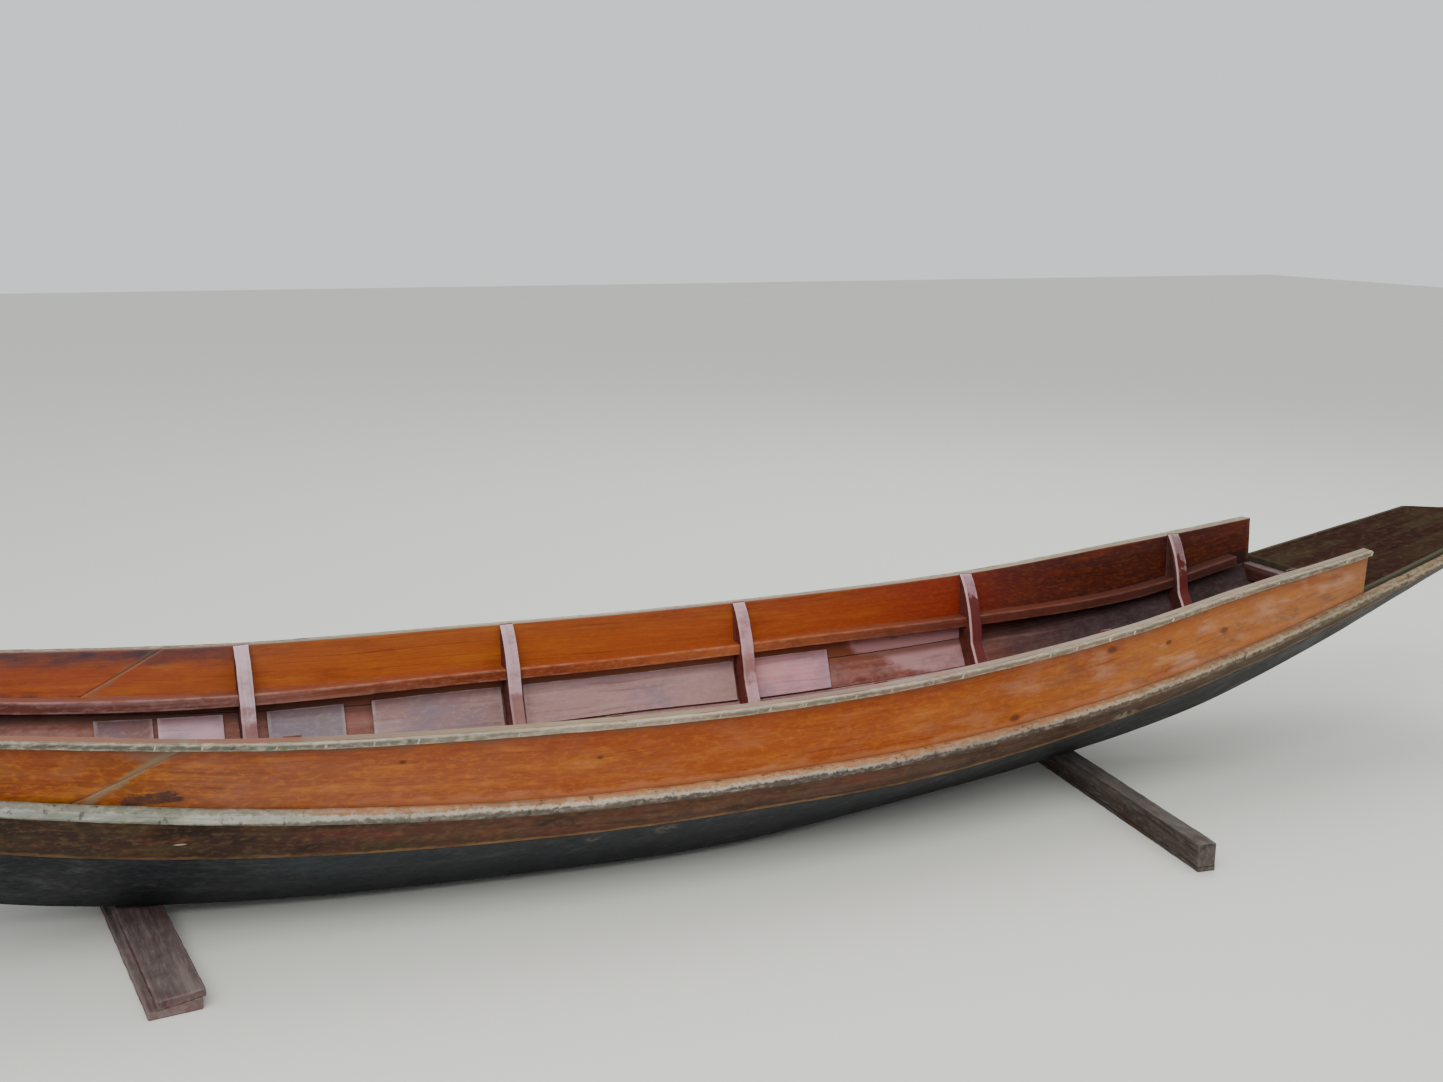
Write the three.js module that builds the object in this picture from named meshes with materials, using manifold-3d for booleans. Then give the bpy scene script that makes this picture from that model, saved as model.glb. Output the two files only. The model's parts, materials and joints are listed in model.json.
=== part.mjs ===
import * as THREE from 'three';
import { mergeVertices } from 'three/addons/utils/BufferGeometryUtils.js';
import Module from 'manifold-3d';

const wasm = await Module();
wasm.setup();

// A plank-built rowing sampan on two timber bearers. Millimetres, +X to the bow,
// +Y to port, +Z up; the floor is z = 0 and the middle of the boat is x = 0, y = 0.

const clearance = 0.3;
const seat = 0.9;
const seamGap = 0.7;
const halfLength = 2410;
const stationStep = 120;
const washEnd = 1810;

const plankThick = 20;
const nose = { length: 80, endShare: 0.16 };
const gunwaleStrip = { tall: 14, thick: 14 };
const rubRail = { above: 15, below: 17, thick: 20, noseThick: 38, noseTurn: 11, bevel: 6 };
const stringer = { end: 1740, tall: 26, wide: 40, notchReach: 6, notchOverrun: 5 };
const frame = { sided: 34, floorDeep: 58, stations: [-1571, -946, -322, 291, 929, 1554] };
const arm = { topDepth: 6, growth: 60, fall: 75, steps: 8 };
const deck = { thick: 16, beamDeep: 44, beamSided: 40 };
const floorboard = { thick: 14, wide: 61, pitch: 67, eachSide: 2, longReach: 1000, shortReach: 480 };

// The washstrakes' scarf joints slope up towards the bow; the two sides differ a little.
const scarf = { run: 150, rise: 87, port: { x: -1199, z: 416 }, starboard: { x: -1233, z: 399 } };

// Lining boards on the side planking between the frames: the ends of each along x.
const lining = {
  thick: 8,
  belowStringer: 52,
  lowShare: 0.03,
  boards: [[-1265, -1145], [-1135, -996], [-900, -725], [-660, -345], [-290, 268], [312, 529]],
};

// Each bearer lies a few degrees off square, and the bottom rests on it at x = contact.
const bearer = {
  aft: { x: -1232, turn: 5, halfLength: 477, contact: -1172 },
  fore: { x: 1014, turn: -6.7, halfLength: 700, contact: 981, wide: 43 },
};

// Across the aft bearer: a wide lower layer and a narrower one set forward on it.
const aftBearer = { back: 52, front: 45, backTall: 14, upperFrom: -36, upperTo: 51, layerAt: 24, slope: 8 };

// The lines of the hull, outside of the planking: half breadth and height of the
// bottom edge, of the seam below the side plank, of the rub rail and of the gunwale,
// and the height of the top of the stringer inside.
const lines = [
  { x: -2450, bottom: [50, 470], seam: [112, 540], rail: [162, 585], top: [176, 657], stringer: 580 },
  { x: -2150, bottom: [54, 325], seam: [165, 445], rail: [202, 505], top: [216, 597], stringer: 540 },
  { x: -1800, bottom: [56, 185], seam: [210, 350], rail: [243, 430], top: [258, 542], stringer: 474 },
  { x: -1400, bottom: [58, 68], seam: [250, 246], rail: [288, 353], top: [304, 487], stringer: 395 },
  { x: -950, bottom: [116, 28], seam: [300, 190], rail: [335, 289], top: [354, 441], stringer: 343 },
  { x: -450, bottom: [180, 24], seam: [336, 162], rail: [372, 249], top: [392, 419], stringer: 323 },
  { x: 0, bottom: [201, 24], seam: [347, 157], rail: [382, 239], top: [402, 409], stringer: 313 },
  { x: 450, bottom: [152, 34], seam: [326, 158], rail: [361, 239], top: [381, 417], stringer: 322 },
  { x: 950, bottom: [100, 62], seam: [272, 196], rail: [313, 270], top: [326, 447], stringer: 341 },
  { x: 1400, bottom: [73, 126], seam: [220, 264], rail: [262, 334], top: [268, 502], stringer: 380 },
  { x: 1800, bottom: [56, 238], seam: [189, 360], rail: [225, 421], top: [231, 551], stringer: 468 },
  { x: 2150, bottom: [50, 368], seam: [146, 452], rail: [182, 497], top: [186, 607], stringer: 540 },
  { x: 2450, bottom: [44, 480], seam: [96, 528], rail: [138, 565], top: [142, 652], stringer: 580 },
];

const colours = {
  varnish: new THREE.Color('#9c5424'),
  faded: new THREE.Color('#a89c88'),
  sidePlank: new THREE.Color('#4a2a1e'),
  tar: new THREE.Color('#1b1a1c'),
  pinkWood: new THREE.Color('#8d6560'),
  deckWood: new THREE.Color('#6d5446'),
  bearerWood: new THREE.Color('#6b4a42'),
};

// Cubic through one value of the table's rows at x.
function readTable(x, valueOf) {
  const last = lines.length - 1;
  let i = 0;
  while (i < last - 1 && lines[i + 1].x < x) {
    i += 1;
  }
  const value = (k) => valueOf(lines[k]);
  const slope = (k) => {
    const a = Math.max(k - 1, 0);
    const b = Math.min(k + 1, last);
    return (value(b) - value(a)) / (lines[b].x - lines[a].x);
  };
  const span = lines[i + 1].x - lines[i].x;
  const t = (x - lines[i].x) / span;
  const fromStart = (1 + 2 * t) * (1 - t) ** 2 * value(i) + t * (1 - t) ** 2 * span * slope(i);
  const fromEnd = t * t * (3 - 2 * t) * value(i + 1) + t * t * (t - 1) * span * slope(i + 1);
  return fromStart + fromEnd;
}

const blockStart = halfLength - nose.length;
const plankEnd = blockStart - clearance;

// The share of the full breadth that is left at x: both ends narrow fast at the last.
function narrowing(x) {
  const past = Math.max(Math.abs(x) - blockStart, 0) / nose.length;
  return 1 - past * (1 - nose.endShare);
}

function knuckle(name, x) {
  const halfBreadth = readTable(x, (row) => row[name][0]) * narrowing(x);
  return new THREE.Vector2(halfBreadth, readTable(x, (row) => row[name][1]));
}

// The four knuckles of the section at x, from the bottom edge up to the gunwale.
function section(x) {
  return ['bottom', 'seam', 'rail', 'top'].map((name) => knuckle(name, x));
}

function inward(from, to, distance) {
  const direction = to.clone().sub(from).normalize();
  return new THREE.Vector2(-direction.y, direction.x).multiplyScalar(distance);
}

// The corner between two planks moved inwards (outwards if negative), keeping its mitre.
function mitre(before, corner, after, distance) {
  const n1 = inward(before, corner, 1);
  const n2 = inward(corner, after, 1);
  const sum = n1.clone().add(n2);
  return corner.clone().addScaledVector(sum, distance / (1 + n1.dot(n2)));
}

// The section's four knuckles moved inwards by a distance.
function offsetSection(x, distance) {
  const [bottom, seam, rail, top] = section(x);
  const centre = new THREE.Vector2(0, bottom.y);
  return [
    mitre(centre, bottom, seam, distance),
    mitre(bottom, seam, rail, distance),
    mitre(seam, rail, top, distance),
    top.clone().add(inward(rail, top, distance)),
  ];
}

function along(from, to, distance) {
  return from.clone().add(to.clone().sub(from).setLength(distance));
}

// The point of a rising edge at a height.
function atHeight(from, to, height) {
  return from.clone().lerp(to, (height - from.y) / (to.y - from.y));
}

// The same on a section's outline, which is given from its lowest point up.
function outlineAtHeight(outline, height) {
  const above = outline.findIndex((p, i) => i > 0 && p.y >= height);
  return atHeight(outline[above - 1], outline[above], height);
}

const frameFaces = frame.stations.flatMap((x) => [x - frame.sided / 2, x + frame.sided / 2]);

// Every piece is lofted through the same stations, so that touching faces stay parallel.
const endStations = [
  washEnd - deck.beamSided / 2,
  washEnd,
  washEnd + deck.beamSided / 2,
  stringer.end,
  blockStart,
  blockStart + rubRail.noseTurn,
];
const sharedStations = [
  ...lines.map((row) => row.x).filter((x) => Math.abs(x) < halfLength),
  ...frameFaces,
  ...lining.boards.flat(),
  bearer.aft.contact,
  bearer.fore.contact,
  ...endStations.flatMap((x) => [-x, x]),
];
for (let x = stationStep; x < blockStart; x += stationStep) {
  sharedStations.push(-x, x);
}
sharedStations.sort((a, b) => a - b);

function stationsBetween(from, to) {
  const inside = sharedStations.filter((x) => x > from + 1 && x < to - 1);
  return [from, ...inside.filter((x, i) => i === 0 || x - inside[i - 1] > 1), to];
}

// A closed body through outlines in planes of constant x, each a list of [y, z] points.
function loft(stations, outlineAt, side = 1) {
  const outlines = stations.map((x) => outlineAt(x).map((p) => new THREE.Vector3(x, side * p.x, p.y)));
  const count = outlines[0].length;
  const positions = outlines.flat().flatMap((p) => [p.x, p.y, p.z]);
  const index = [];
  for (let i = 0; i < stations.length - 1; i += 1) {
    for (let j = 0; j < count; j += 1) {
      const a = i * count + j;
      const b = i * count + ((j + 1) % count);
      index.push(a, b, b + count, a, b + count, a + count);
    }
  }
  const flat = outlines[0].map((p) => new THREE.Vector2(p.y, p.z));
  const caps = THREE.ShapeUtils.triangulateShape(flat, []);
  const turned = THREE.ShapeUtils.area(flat) < 0;
  const lastRow = (stations.length - 1) * count;
  for (const [a, b, c] of caps) {
    const [p, q] = turned ? [b, c] : [c, b];
    index.push(a, p, q, lastRow + a, lastRow + q, lastRow + p);
  }
  const geometry = new THREE.BufferGeometry();
  geometry.setAttribute('position', new THREE.Float32BufferAttribute(positions, 3));
  geometry.setIndex(index);
  return facingOut(geometry);
}

function signedVolume(geometry) {
  const at = geometry.attributes.position;
  const corner = (k) => new THREE.Vector3().fromBufferAttribute(at, geometry.index.getX(k));
  let total = 0;
  for (let k = 0; k < geometry.index.count; k += 3) {
    total += corner(k).dot(corner(k + 1).cross(corner(k + 2)));
  }
  return total / 6;
}

function facingOut(geometry) {
  if (signedVolume(geometry) > 0) {
    return geometry;
  }
  const index = Array.from(geometry.index.array);
  for (let k = 0; k < index.length; k += 3) {
    [index[k + 1], index[k + 2]] = [index[k + 2], index[k + 1]];
  }
  geometry.setIndex(index);
  return geometry;
}

function toSolid(geometry) {
  const bare = geometry.clone();
  bare.deleteAttribute('normal');
  bare.deleteAttribute('uv');
  const merged = mergeVertices(bare);
  return new wasm.Manifold(new wasm.Mesh({
    numProp: 3,
    vertProperties: new Float32Array(merged.attributes.position.array),
    triVerts: new Uint32Array(merged.index.array),
  }));
}

function fromSolid(solid) {
  const mesh = solid.getMesh();
  const geometry = new THREE.BufferGeometry();
  geometry.setAttribute('position', new THREE.Float32BufferAttribute(mesh.vertProperties, 3));
  geometry.setIndex(Array.from(mesh.triVerts));
  return geometry;
}

const sampan = new THREE.Group();

function addNode(name, geometry, colour, roughness) {
  const material = new THREE.MeshStandardMaterial({ color: colours[colour], roughness, metalness: 0 });
  geometry.computeVertexNormals();
  const mesh = new THREE.Mesh(geometry, material);
  mesh.name = name;
  sampan.add(mesh);
  return mesh;
}

const sides = [{ name: 'port', sign: 1 }, { name: 'starboard', sign: -1 }];

// One plank between two knuckles of the section, its edges a hair apart from the next.
function plankOutline(x, lower) {
  const outer = section(x);
  const inner = offsetSection(x, plankThick);
  const edge = seamGap / 2;
  return [
    along(outer[lower], outer[lower + 1], edge),
    along(outer[lower + 1], outer[lower], edge),
    along(inner[lower + 1], inner[lower], edge),
    along(inner[lower], inner[lower + 1], edge),
  ];
}

function addBottomPlank() {
  const outlineAt = (x) => {
    const outer = section(x)[0];
    const inner = offsetSection(x, plankThick)[0];
    const edge = seamGap / 2;
    return [
      new THREE.Vector2(-outer.x + edge, outer.y),
      new THREE.Vector2(outer.x - edge, outer.y),
      new THREE.Vector2(inner.x - edge, inner.y),
      new THREE.Vector2(-inner.x + edge, inner.y),
    ];
  };
  addNode('bottom_plank', loft(stationsBetween(-plankEnd, plankEnd), outlineAt), 'tar', 0.85);
}

function addSidePlanking() {
  const stations = stationsBetween(-plankEnd, plankEnd);
  for (const { name, sign } of sides) {
    const bilge = loft(stations, (x) => plankOutline(x, 0), sign);
    addNode(`bilge_plank_${name}`, bilge, 'tar', 0.85);
    const side = loft(stations, (x) => plankOutline(x, 1), sign);
    addNode(`side_plank_${name}`, side, 'sidePlank', 0.6);
  }
}

// Each washstrake is in two lengths, with a sloping scarf joint near the stern.
function addWashstrakes() {
  const slope = Math.hypot(scarf.run, scarf.rise);
  const normal = [scarf.rise / slope, 0, -scarf.run / slope];
  for (const { name, sign } of sides) {
    const offset = normal[0] * scarf[name].x + normal[2] * scarf[name].z;
    const whole = toSolid(loft(stationsBetween(-washEnd, washEnd), (x) => plankOutline(x, 2), sign));
    const fore = whole.trimByPlane(normal, offset + clearance / 2);
    const aft = whole.trimByPlane(normal.map((n) => -n), -offset + clearance / 2);
    addNode(`washstrake_fore_${name}`, fromSolid(fore), 'varnish', 0.35);
    addNode(`washstrake_aft_${name}`, fromSolid(aft), 'varnish', 0.35);
  }
}

function gunwaleOutline(x) {
  const [, , rail, top] = offsetSection(x, -seat);
  const low = along(top, rail, gunwaleStrip.tall);
  const out = new THREE.Vector2(gunwaleStrip.thick, 0);
  return [top, low, low.clone().add(out), top.clone().add(out)];
}

// The bevelled outside of the rub rail, from its upper edge down.
function rubRailFace(outer, upper, lower) {
  return [
    new THREE.Vector2(outer - rubRail.bevel, upper.y),
    new THREE.Vector2(outer, upper.y - rubRail.bevel),
    new THREE.Vector2(outer, lower.y + rubRail.bevel),
    new THREE.Vector2(outer - rubRail.bevel, lower.y),
  ];
}

function rubRailOutline(x) {
  const [, seam, rail, top] = offsetSection(x, -seat);
  const upper = along(rail, top, rubRail.above);
  const lower = along(rail, seam, rubRail.below);
  return [rail, upper, ...rubRailFace(rail.x + rubRail.thick, upper, lower), lower];
}

function stringerTop(x) {
  return readTable(x, (row) => row.stringer);
}

function stringerOutline(x, grow = 0) {
  const planking = offsetSection(x, plankThick + seat);
  const upper = outlineAtHeight(planking, stringerTop(x) + grow);
  const lower = outlineAtHeight(planking, stringerTop(x) - stringer.tall - grow);
  const wide = new THREE.Vector2(-stringer.wide - grow, 0);
  const reach = new THREE.Vector2(grow > 0 ? stringer.notchReach : 0, 0);
  return [
    upper.clone().add(reach),
    lower.clone().add(reach),
    lower.clone().add(wide),
    upper.clone().add(wide),
  ];
}

function addLongStrips() {
  for (const { name, sign } of sides) {
    const cap = loft(stationsBetween(-washEnd, washEnd), gunwaleOutline, sign);
    addNode(`gunwale_strip_${name}`, cap, 'faded', 0.8);
    const rub = loft(stationsBetween(-plankEnd, plankEnd), rubRailOutline, sign);
    addNode(`rub_rail_${name}`, rub, 'faded', 0.8);
    const inner = loft(stationsBetween(-stringer.end, stringer.end), (x) => stringerOutline(x), sign);
    addNode(`stringer_${name}`, inner, 'pinkWood', 0.7);
  }
}

function bothSides(half) {
  return [...half, ...[...half].reverse().map((p) => new THREE.Vector2(-p.x, p.y))];
}

function floorTop(x) {
  return section(x)[0].y + plankThick + frame.floorDeep;
}

// A floor timber lies across the bottom; its ends follow the bilge planks.
function floorTimberOutline(x, centre) {
  const [bottom, seam] = offsetSection(x, plankThick + seat);
  return bothSides([bottom, atHeight(bottom, seam, floorTop(centre))]);
}

// A frame arm stands on the floor timber and follows the planking to the gunwale;
// its inner face curves out towards the top, where the arm is thin.
function frameArmOutline(x, centre) {
  const planking = offsetSection(x, plankThick + seat);
  const [, seam, rail, top] = planking;
  const heel = floorTop(centre) + clearance;
  const inner = [];
  for (let step = 0; step <= arm.steps; step += 1) {
    const drop = (step / arm.steps) ** 2 * (top.y - heel);
    const depth = arm.topDepth + arm.growth * (1 - Math.exp(-drop / arm.fall));
    const outside = outlineAtHeight(planking, top.y - drop);
    inner.push(new THREE.Vector2(outside.x - depth, outside.y));
  }
  return [outlineAtHeight(planking, heel), seam, rail, top, ...inner];
}

function addFrames() {
  const notchEnd = stringer.end + stringer.notchOverrun;
  const notches = sides.map(({ sign }) => toSolid(loft(
    stationsBetween(-notchEnd, notchEnd),
    (x) => stringerOutline(x, clearance),
    sign,
  )));
  frame.stations.forEach((centre, n) => {
    const faces = [centre - frame.sided / 2, centre + frame.sided / 2];
    const number = n + 1;
    const timber = loft(faces, (x) => floorTimberOutline(x, centre));
    addNode(`floor_timber_${number}`, timber, 'pinkWood', 0.75);
    sides.forEach(({ name, sign }, k) => {
      const whole = toSolid(loft(faces, (x) => frameArmOutline(x, centre), sign));
      addNode(`frame_arm_${number}_${name}`, fromSolid(whole.subtract(notches[k])), 'pinkWood', 0.75);
    });
  });
}

// A lining board is flat, and leans from the side plank to the planking above it.
function liningOutline(x) {
  const planking = offsetSection(x, plankThick + seat);
  const low = planking[1].clone().lerp(planking[2], lining.lowShare);
  const high = outlineAtHeight(planking, stringerTop(x) - lining.belowStringer);
  const thick = inward(low, high, lining.thick);
  return [low, high, high.clone().add(thick), low.clone().add(thick)];
}

function addLiningBoards() {
  lining.boards.forEach(([from, to], n) => {
    for (const { name, sign } of sides) {
      const board = loft(stationsBetween(from, to), liningOutline, sign);
      addNode(`lining_board_${n + 1}_${name}`, board, 'pinkWood', 0.7);
    }
  });
}

// The floorboards run fore and aft on the floor timbers, bent to their tops.
function addFloorboards() {
  const { thick, wide, pitch, eachSide, longReach, shortReach } = floorboard;
  const timberUnder = (x) => frame.stations.reduce((a, b) => (Math.abs(b - x) < Math.abs(a - x) ? b : a));
  for (let n = -eachSide; n <= eachSide; n += 1) {
    const reach = Math.abs(n) === eachSide ? shortReach : longReach;
    const stations = [-reach, ...frameFaces.filter((x) => Math.abs(x) < reach), reach];
    const left = n * pitch - wide / 2;
    const outlineAt = (x) => {
      const low = floorTop(timberUnder(x)) + clearance;
      return [
        new THREE.Vector2(left, low),
        new THREE.Vector2(left + wide, low),
        new THREE.Vector2(left + wide, low + thick),
        new THREE.Vector2(left, low + thick),
      ];
    };
    addNode(`floorboard_${n + eachSide + 1}`, loft(stations, outlineAt), 'pinkWood', 0.8);
  }
}

function deckUnderside(x) {
  return offsetSection(x, plankThick)[2].y + clearance;
}

// At each end a deck lies on the side planks, on a beam, and meets a solid end block.
function addEnds() {
  const deckOutline = (x) => {
    const low = new THREE.Vector2(knuckle('rail', x).x - clearance, deckUnderside(x));
    return bothSides([low, new THREE.Vector2(low.x, low.y + deck.thick)]);
  };
  const beamOutline = (x) => {
    const [, seam, rail] = offsetSection(x, plankThick + seat);
    return bothSides([atHeight(seam, rail, rail.y - deck.beamDeep), rail]);
  };
  // The rub rail's shape is carved on the block; its slant makes it wider across.
  const blockOutline = (x) => {
    const [bottom, seam, rail, top] = section(x);
    const upper = along(rail, top, rubRail.above);
    const lower = along(rail, seam, rubRail.below);
    const corner = knuckle('rail', Math.sign(x) * blockStart).x + rubRail.thick;
    const outer = Math.min(rail.x + rubRail.noseThick, corner);
    const edge = new THREE.Vector2(rail.x, deckUnderside(x) + deck.thick);
    return bothSides([bottom, seam, lower, ...rubRailFace(outer, upper, lower).reverse(), edge]);
  };
  const deckStart = washEnd + clearance;
  for (const { name, sign } of [{ name: 'bow', sign: 1 }, { name: 'stern', sign: -1 }]) {
    const span = (from, to) => (sign > 0 ? [from, to] : [-to, -from]);
    const boards = loft(stationsBetween(...span(deckStart, plankEnd)), deckOutline);
    addNode(`${name}_deck`, boards, 'deckWood', 0.8);
    const beam = span(washEnd - deck.beamSided / 2, washEnd + deck.beamSided / 2);
    addNode(`${name}_deck_beam`, loft(beam, beamOutline), 'pinkWood', 0.75);
    const block = stationsBetween(...span(blockStart, halfLength));
    addNode(`${name}_block`, loft(block, blockOutline), 'deckWood', 0.75);
  }
}

// The bearers lie across under the boat, their tops a hair under its bottom.
function addBearer(name, outline, { x, turn, halfLength: reach }) {
  const shape = new THREE.Shape(outline.map(([across, up]) => new THREE.Vector2(across, up)));
  const long = new THREE.ExtrudeGeometry(shape, { depth: 2 * reach, bevelEnabled: false });
  long.translate(0, 0, -reach);
  long.rotateX(Math.PI / 2);
  long.deleteAttribute('normal');
  long.deleteAttribute('uv');
  const mesh = addNode(name, mergeVertices(long), 'bearerWood', 0.9);
  mesh.position.x = x;
  mesh.rotation.z = THREE.MathUtils.degToRad(turn);
}

function addBearers() {
  const { aft, fore } = bearer;
  const { back, front, backTall, upperFrom, upperTo, layerAt, slope } = aftBearer;
  const aftTop = section(aft.contact)[0].y - clearance;
  addBearer('bearer_aft', [
    [-back, 0],
    [front, 0],
    [front, layerAt],
    [upperTo, layerAt],
    [upperTo, aftTop],
    [upperFrom, aftTop - slope],
    [upperFrom, backTall],
    [-back, backTall],
  ], aft);
  const foreTop = section(fore.contact)[0].y - clearance;
  const half = fore.wide / 2;
  addBearer('bearer_fore', [[-half, 0], [half, 0], [half, foreTop], [-half, foreTop]], fore);
}

addBottomPlank();
addSidePlanking();
addWashstrakes();
addLongStrips();
addFrames();
addLiningBoards();
addFloorboards();
addEnds();
addBearers();

export default sampan;
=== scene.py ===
import json
import math

import bmesh
import bpy
import numpy as np
from mathutils import Matrix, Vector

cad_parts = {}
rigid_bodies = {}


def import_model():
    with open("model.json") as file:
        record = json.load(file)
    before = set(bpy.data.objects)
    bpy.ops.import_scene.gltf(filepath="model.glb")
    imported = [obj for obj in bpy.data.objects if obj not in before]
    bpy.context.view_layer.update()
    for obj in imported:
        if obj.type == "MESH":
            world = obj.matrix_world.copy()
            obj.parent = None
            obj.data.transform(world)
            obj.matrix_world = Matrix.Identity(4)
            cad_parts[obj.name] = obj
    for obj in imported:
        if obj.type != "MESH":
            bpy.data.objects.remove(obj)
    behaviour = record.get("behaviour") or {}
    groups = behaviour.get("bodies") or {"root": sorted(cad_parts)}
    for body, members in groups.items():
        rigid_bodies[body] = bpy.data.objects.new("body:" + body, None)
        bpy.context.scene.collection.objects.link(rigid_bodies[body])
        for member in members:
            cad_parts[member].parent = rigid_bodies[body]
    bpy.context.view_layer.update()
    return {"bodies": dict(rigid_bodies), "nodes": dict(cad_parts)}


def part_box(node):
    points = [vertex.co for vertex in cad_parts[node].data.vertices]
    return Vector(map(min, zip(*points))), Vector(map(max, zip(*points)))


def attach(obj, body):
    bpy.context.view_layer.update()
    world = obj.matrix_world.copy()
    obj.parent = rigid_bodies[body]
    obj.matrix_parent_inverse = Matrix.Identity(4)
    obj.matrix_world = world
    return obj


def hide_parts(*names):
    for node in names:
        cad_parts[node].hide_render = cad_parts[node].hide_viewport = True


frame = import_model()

body = next(iter(frame["bodies"]))
print("frame loaded with", len(frame["nodes"]), "nodes on", body)


def addObject(name, data):
    made = bpy.data.objects.new(name, data)
    bpy.context.scene.collection.objects.link(made)
    return made


# the camera, where the picture was taken from
cameraSetup = {
    "place": (-1.4072, -3.2795, 1.45),
    "heading": 24.33,      # degrees from +Y towards +X
    "down": 12.28,         # degrees below the horizon
    "roll": 0.62,
    "focal": 1624.8,       # in pixels of a picture this wide
    "pictureWide": 1443,
    "sensor": 36.0,
}


def makeCamera(values):
    data = bpy.data.cameras.new("pictureCamera")
    data.sensor_width = values["sensor"]
    data.lens = values["sensor"] * values["focal"] / values["pictureWide"]
    camera = addObject("pictureCamera", data)
    camera.matrix_world = Matrix.Translation(values["place"]) @ (
        Matrix.Rotation(-math.radians(values["heading"]), 4, "Z")
        @ Matrix.Rotation(math.radians(90 - values["down"]), 4, "X")
        @ Matrix.Rotation(math.radians(values["roll"]), 4, "Z")
    )
    bpy.context.scene.camera = camera


makeCamera(cameraSetup)
print("camera placed")


# shader helpers: each finds its node tree from the sockets it is given

def tint(code):
    channels = [int(code[i:i + 2], 16) / 255 for i in (1, 3, 5)]
    return [c / 12.92 if c <= 0.04045 else ((c + 0.055) / 1.055) ** 2.4 for c in channels] + [1.0]


def feed(socket, value):
    if isinstance(value, bpy.types.NodeSocket):
        socket.id_data.links.new(value, socket)
    elif isinstance(value, str) and value.startswith("#"):
        socket.default_value = tint(value)
    elif value is not None:
        socket.default_value = value


def addNode(tree, kind, settings=None, **values):
    made = tree.nodes.new(kind)
    for key, value in (settings or {}).items():
        setattr(made, key, value)
    for key, value in values.items():
        feed(made.inputs[key.replace("_", " ")], value)
    return made


def output(tree, kind, settings=None, **values):
    return addNode(tree, kind, settings, **values).outputs[0]


# a node whose inputs are filled in order
def inOrder(kind, settings, *values):
    tree = next(value.id_data for value in values if isinstance(value, bpy.types.NodeSocket))
    made = addNode(tree, kind, settings)
    for socket, value in zip(made.inputs, values):
        feed(socket, value)
    return made


def calc(operation, *values, clamp=False):
    return inOrder("ShaderNodeMath", {"operation": operation, "use_clamp": clamp}, *values).outputs[0]


def plus(first, second):
    return calc("ADD", first, second)


def minus(first, second):
    return calc("SUBTRACT", first, second)


def times(first, *others):
    for other in others:
        first = calc("MULTIPLY", first, other)
    return first


def scaled(value, factor, shift):
    return calc("MULTIPLY_ADD", value, factor, shift)


def vectorCalc(operation, *values):
    made = inOrder("ShaderNodeVectorMath", {"operation": operation}, *values)
    return made.outputs["Value" if operation == "LENGTH" else "Vector"]


def partsOf(vector):
    return addNode(vector.id_data, "ShaderNodeSeparateXYZ", Vector=vector).outputs


def joined(x, y, z):
    return inOrder("ShaderNodeCombineXYZ", {}, x, y, z).outputs[0]


def noise(vector, scale, detail, roughness=0.5):
    return output(vector.id_data, "ShaderNodeTexNoise", Vector=vector, Scale=scale, Detail=detail,
                  Roughness=roughness)


def blend(amount, first, second):
    made = addNode(amount.id_data, "ShaderNodeMix", {"data_type": "RGBA"})
    for k, value in ((0, amount), (6, first), (7, second)):
        feed(made.inputs[k], value)
    return made.outputs[2]


def ramp(value, stops):
    made = addNode(value.id_data, "ShaderNodeValToRGB", Fac=value)
    elements = made.color_ramp.elements
    while len(elements) < len(stops):
        elements.new(0.5)
    for element, (place, code) in zip(elements, stops):
        element.position = place
        element.color = tint(code)
    return made.outputs[0]


def fade(value, start, end, low=0.0, high=1.0):
    return output(value.id_data, "ShaderNodeMapRange", {"interpolation_type": "SMOOTHSTEP"}, Value=value,
                  From_Min=start, From_Max=end, To_Min=low, To_Max=high)


def between(value, low, high, soft):
    return times(fade(value, low - soft, low + soft), fade(value, high - soft, high + soft, 1.0, 0.0))


def attributeOf(tree, name):
    return addNode(tree, "ShaderNodeAttribute", {"attribute_name": name}).outputs["Fac"]


# the effects that several materials share

def newGroup(name, numbers, outputs, vectors=("Vector",)):
    tree = bpy.data.node_groups.new(name, "ShaderNodeTree")
    sockets = [(vectors, "INPUT", "Vector"), (numbers, "INPUT", "Float"), (outputs, "OUTPUT", "Float")]
    for names, way, kind in sockets:
        for socket in names:
            tree.interface.new_socket(socket, in_out=way, socket_type="NodeSocket" + kind)
    return tree, tree.nodes.new("NodeGroupInput").outputs, tree.nodes.new("NodeGroupOutput").inputs


def makeGrainGroup():
    tree, given, out = newGroup("plankGrain", ["Along", "Across", "Waver", "Seed"], ["Bands", "Streaks", "Pores"])
    along, across, _ = partsOf(given["Vector"])
    drift = noise(joined(times(along, 1.3), times(across, 5), given["Seed"]), 1, 2)
    across = plus(across, times(minus(drift, 0.5), given["Waver"]))
    for name, alongTimes, acrossTimes, detail in (
        ("Bands", 0.35, 0.22, 3), ("Streaks", 1, 1, 6), ("Pores", 7, 5, 2),
    ):
        place = joined(times(along, times(given["Along"], alongTimes)),
                       times(across, times(given["Across"], acrossTimes)), plus(given["Seed"], detail))
        feed(out[name], noise(place, 1, detail, 0.62))
    return tree


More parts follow.
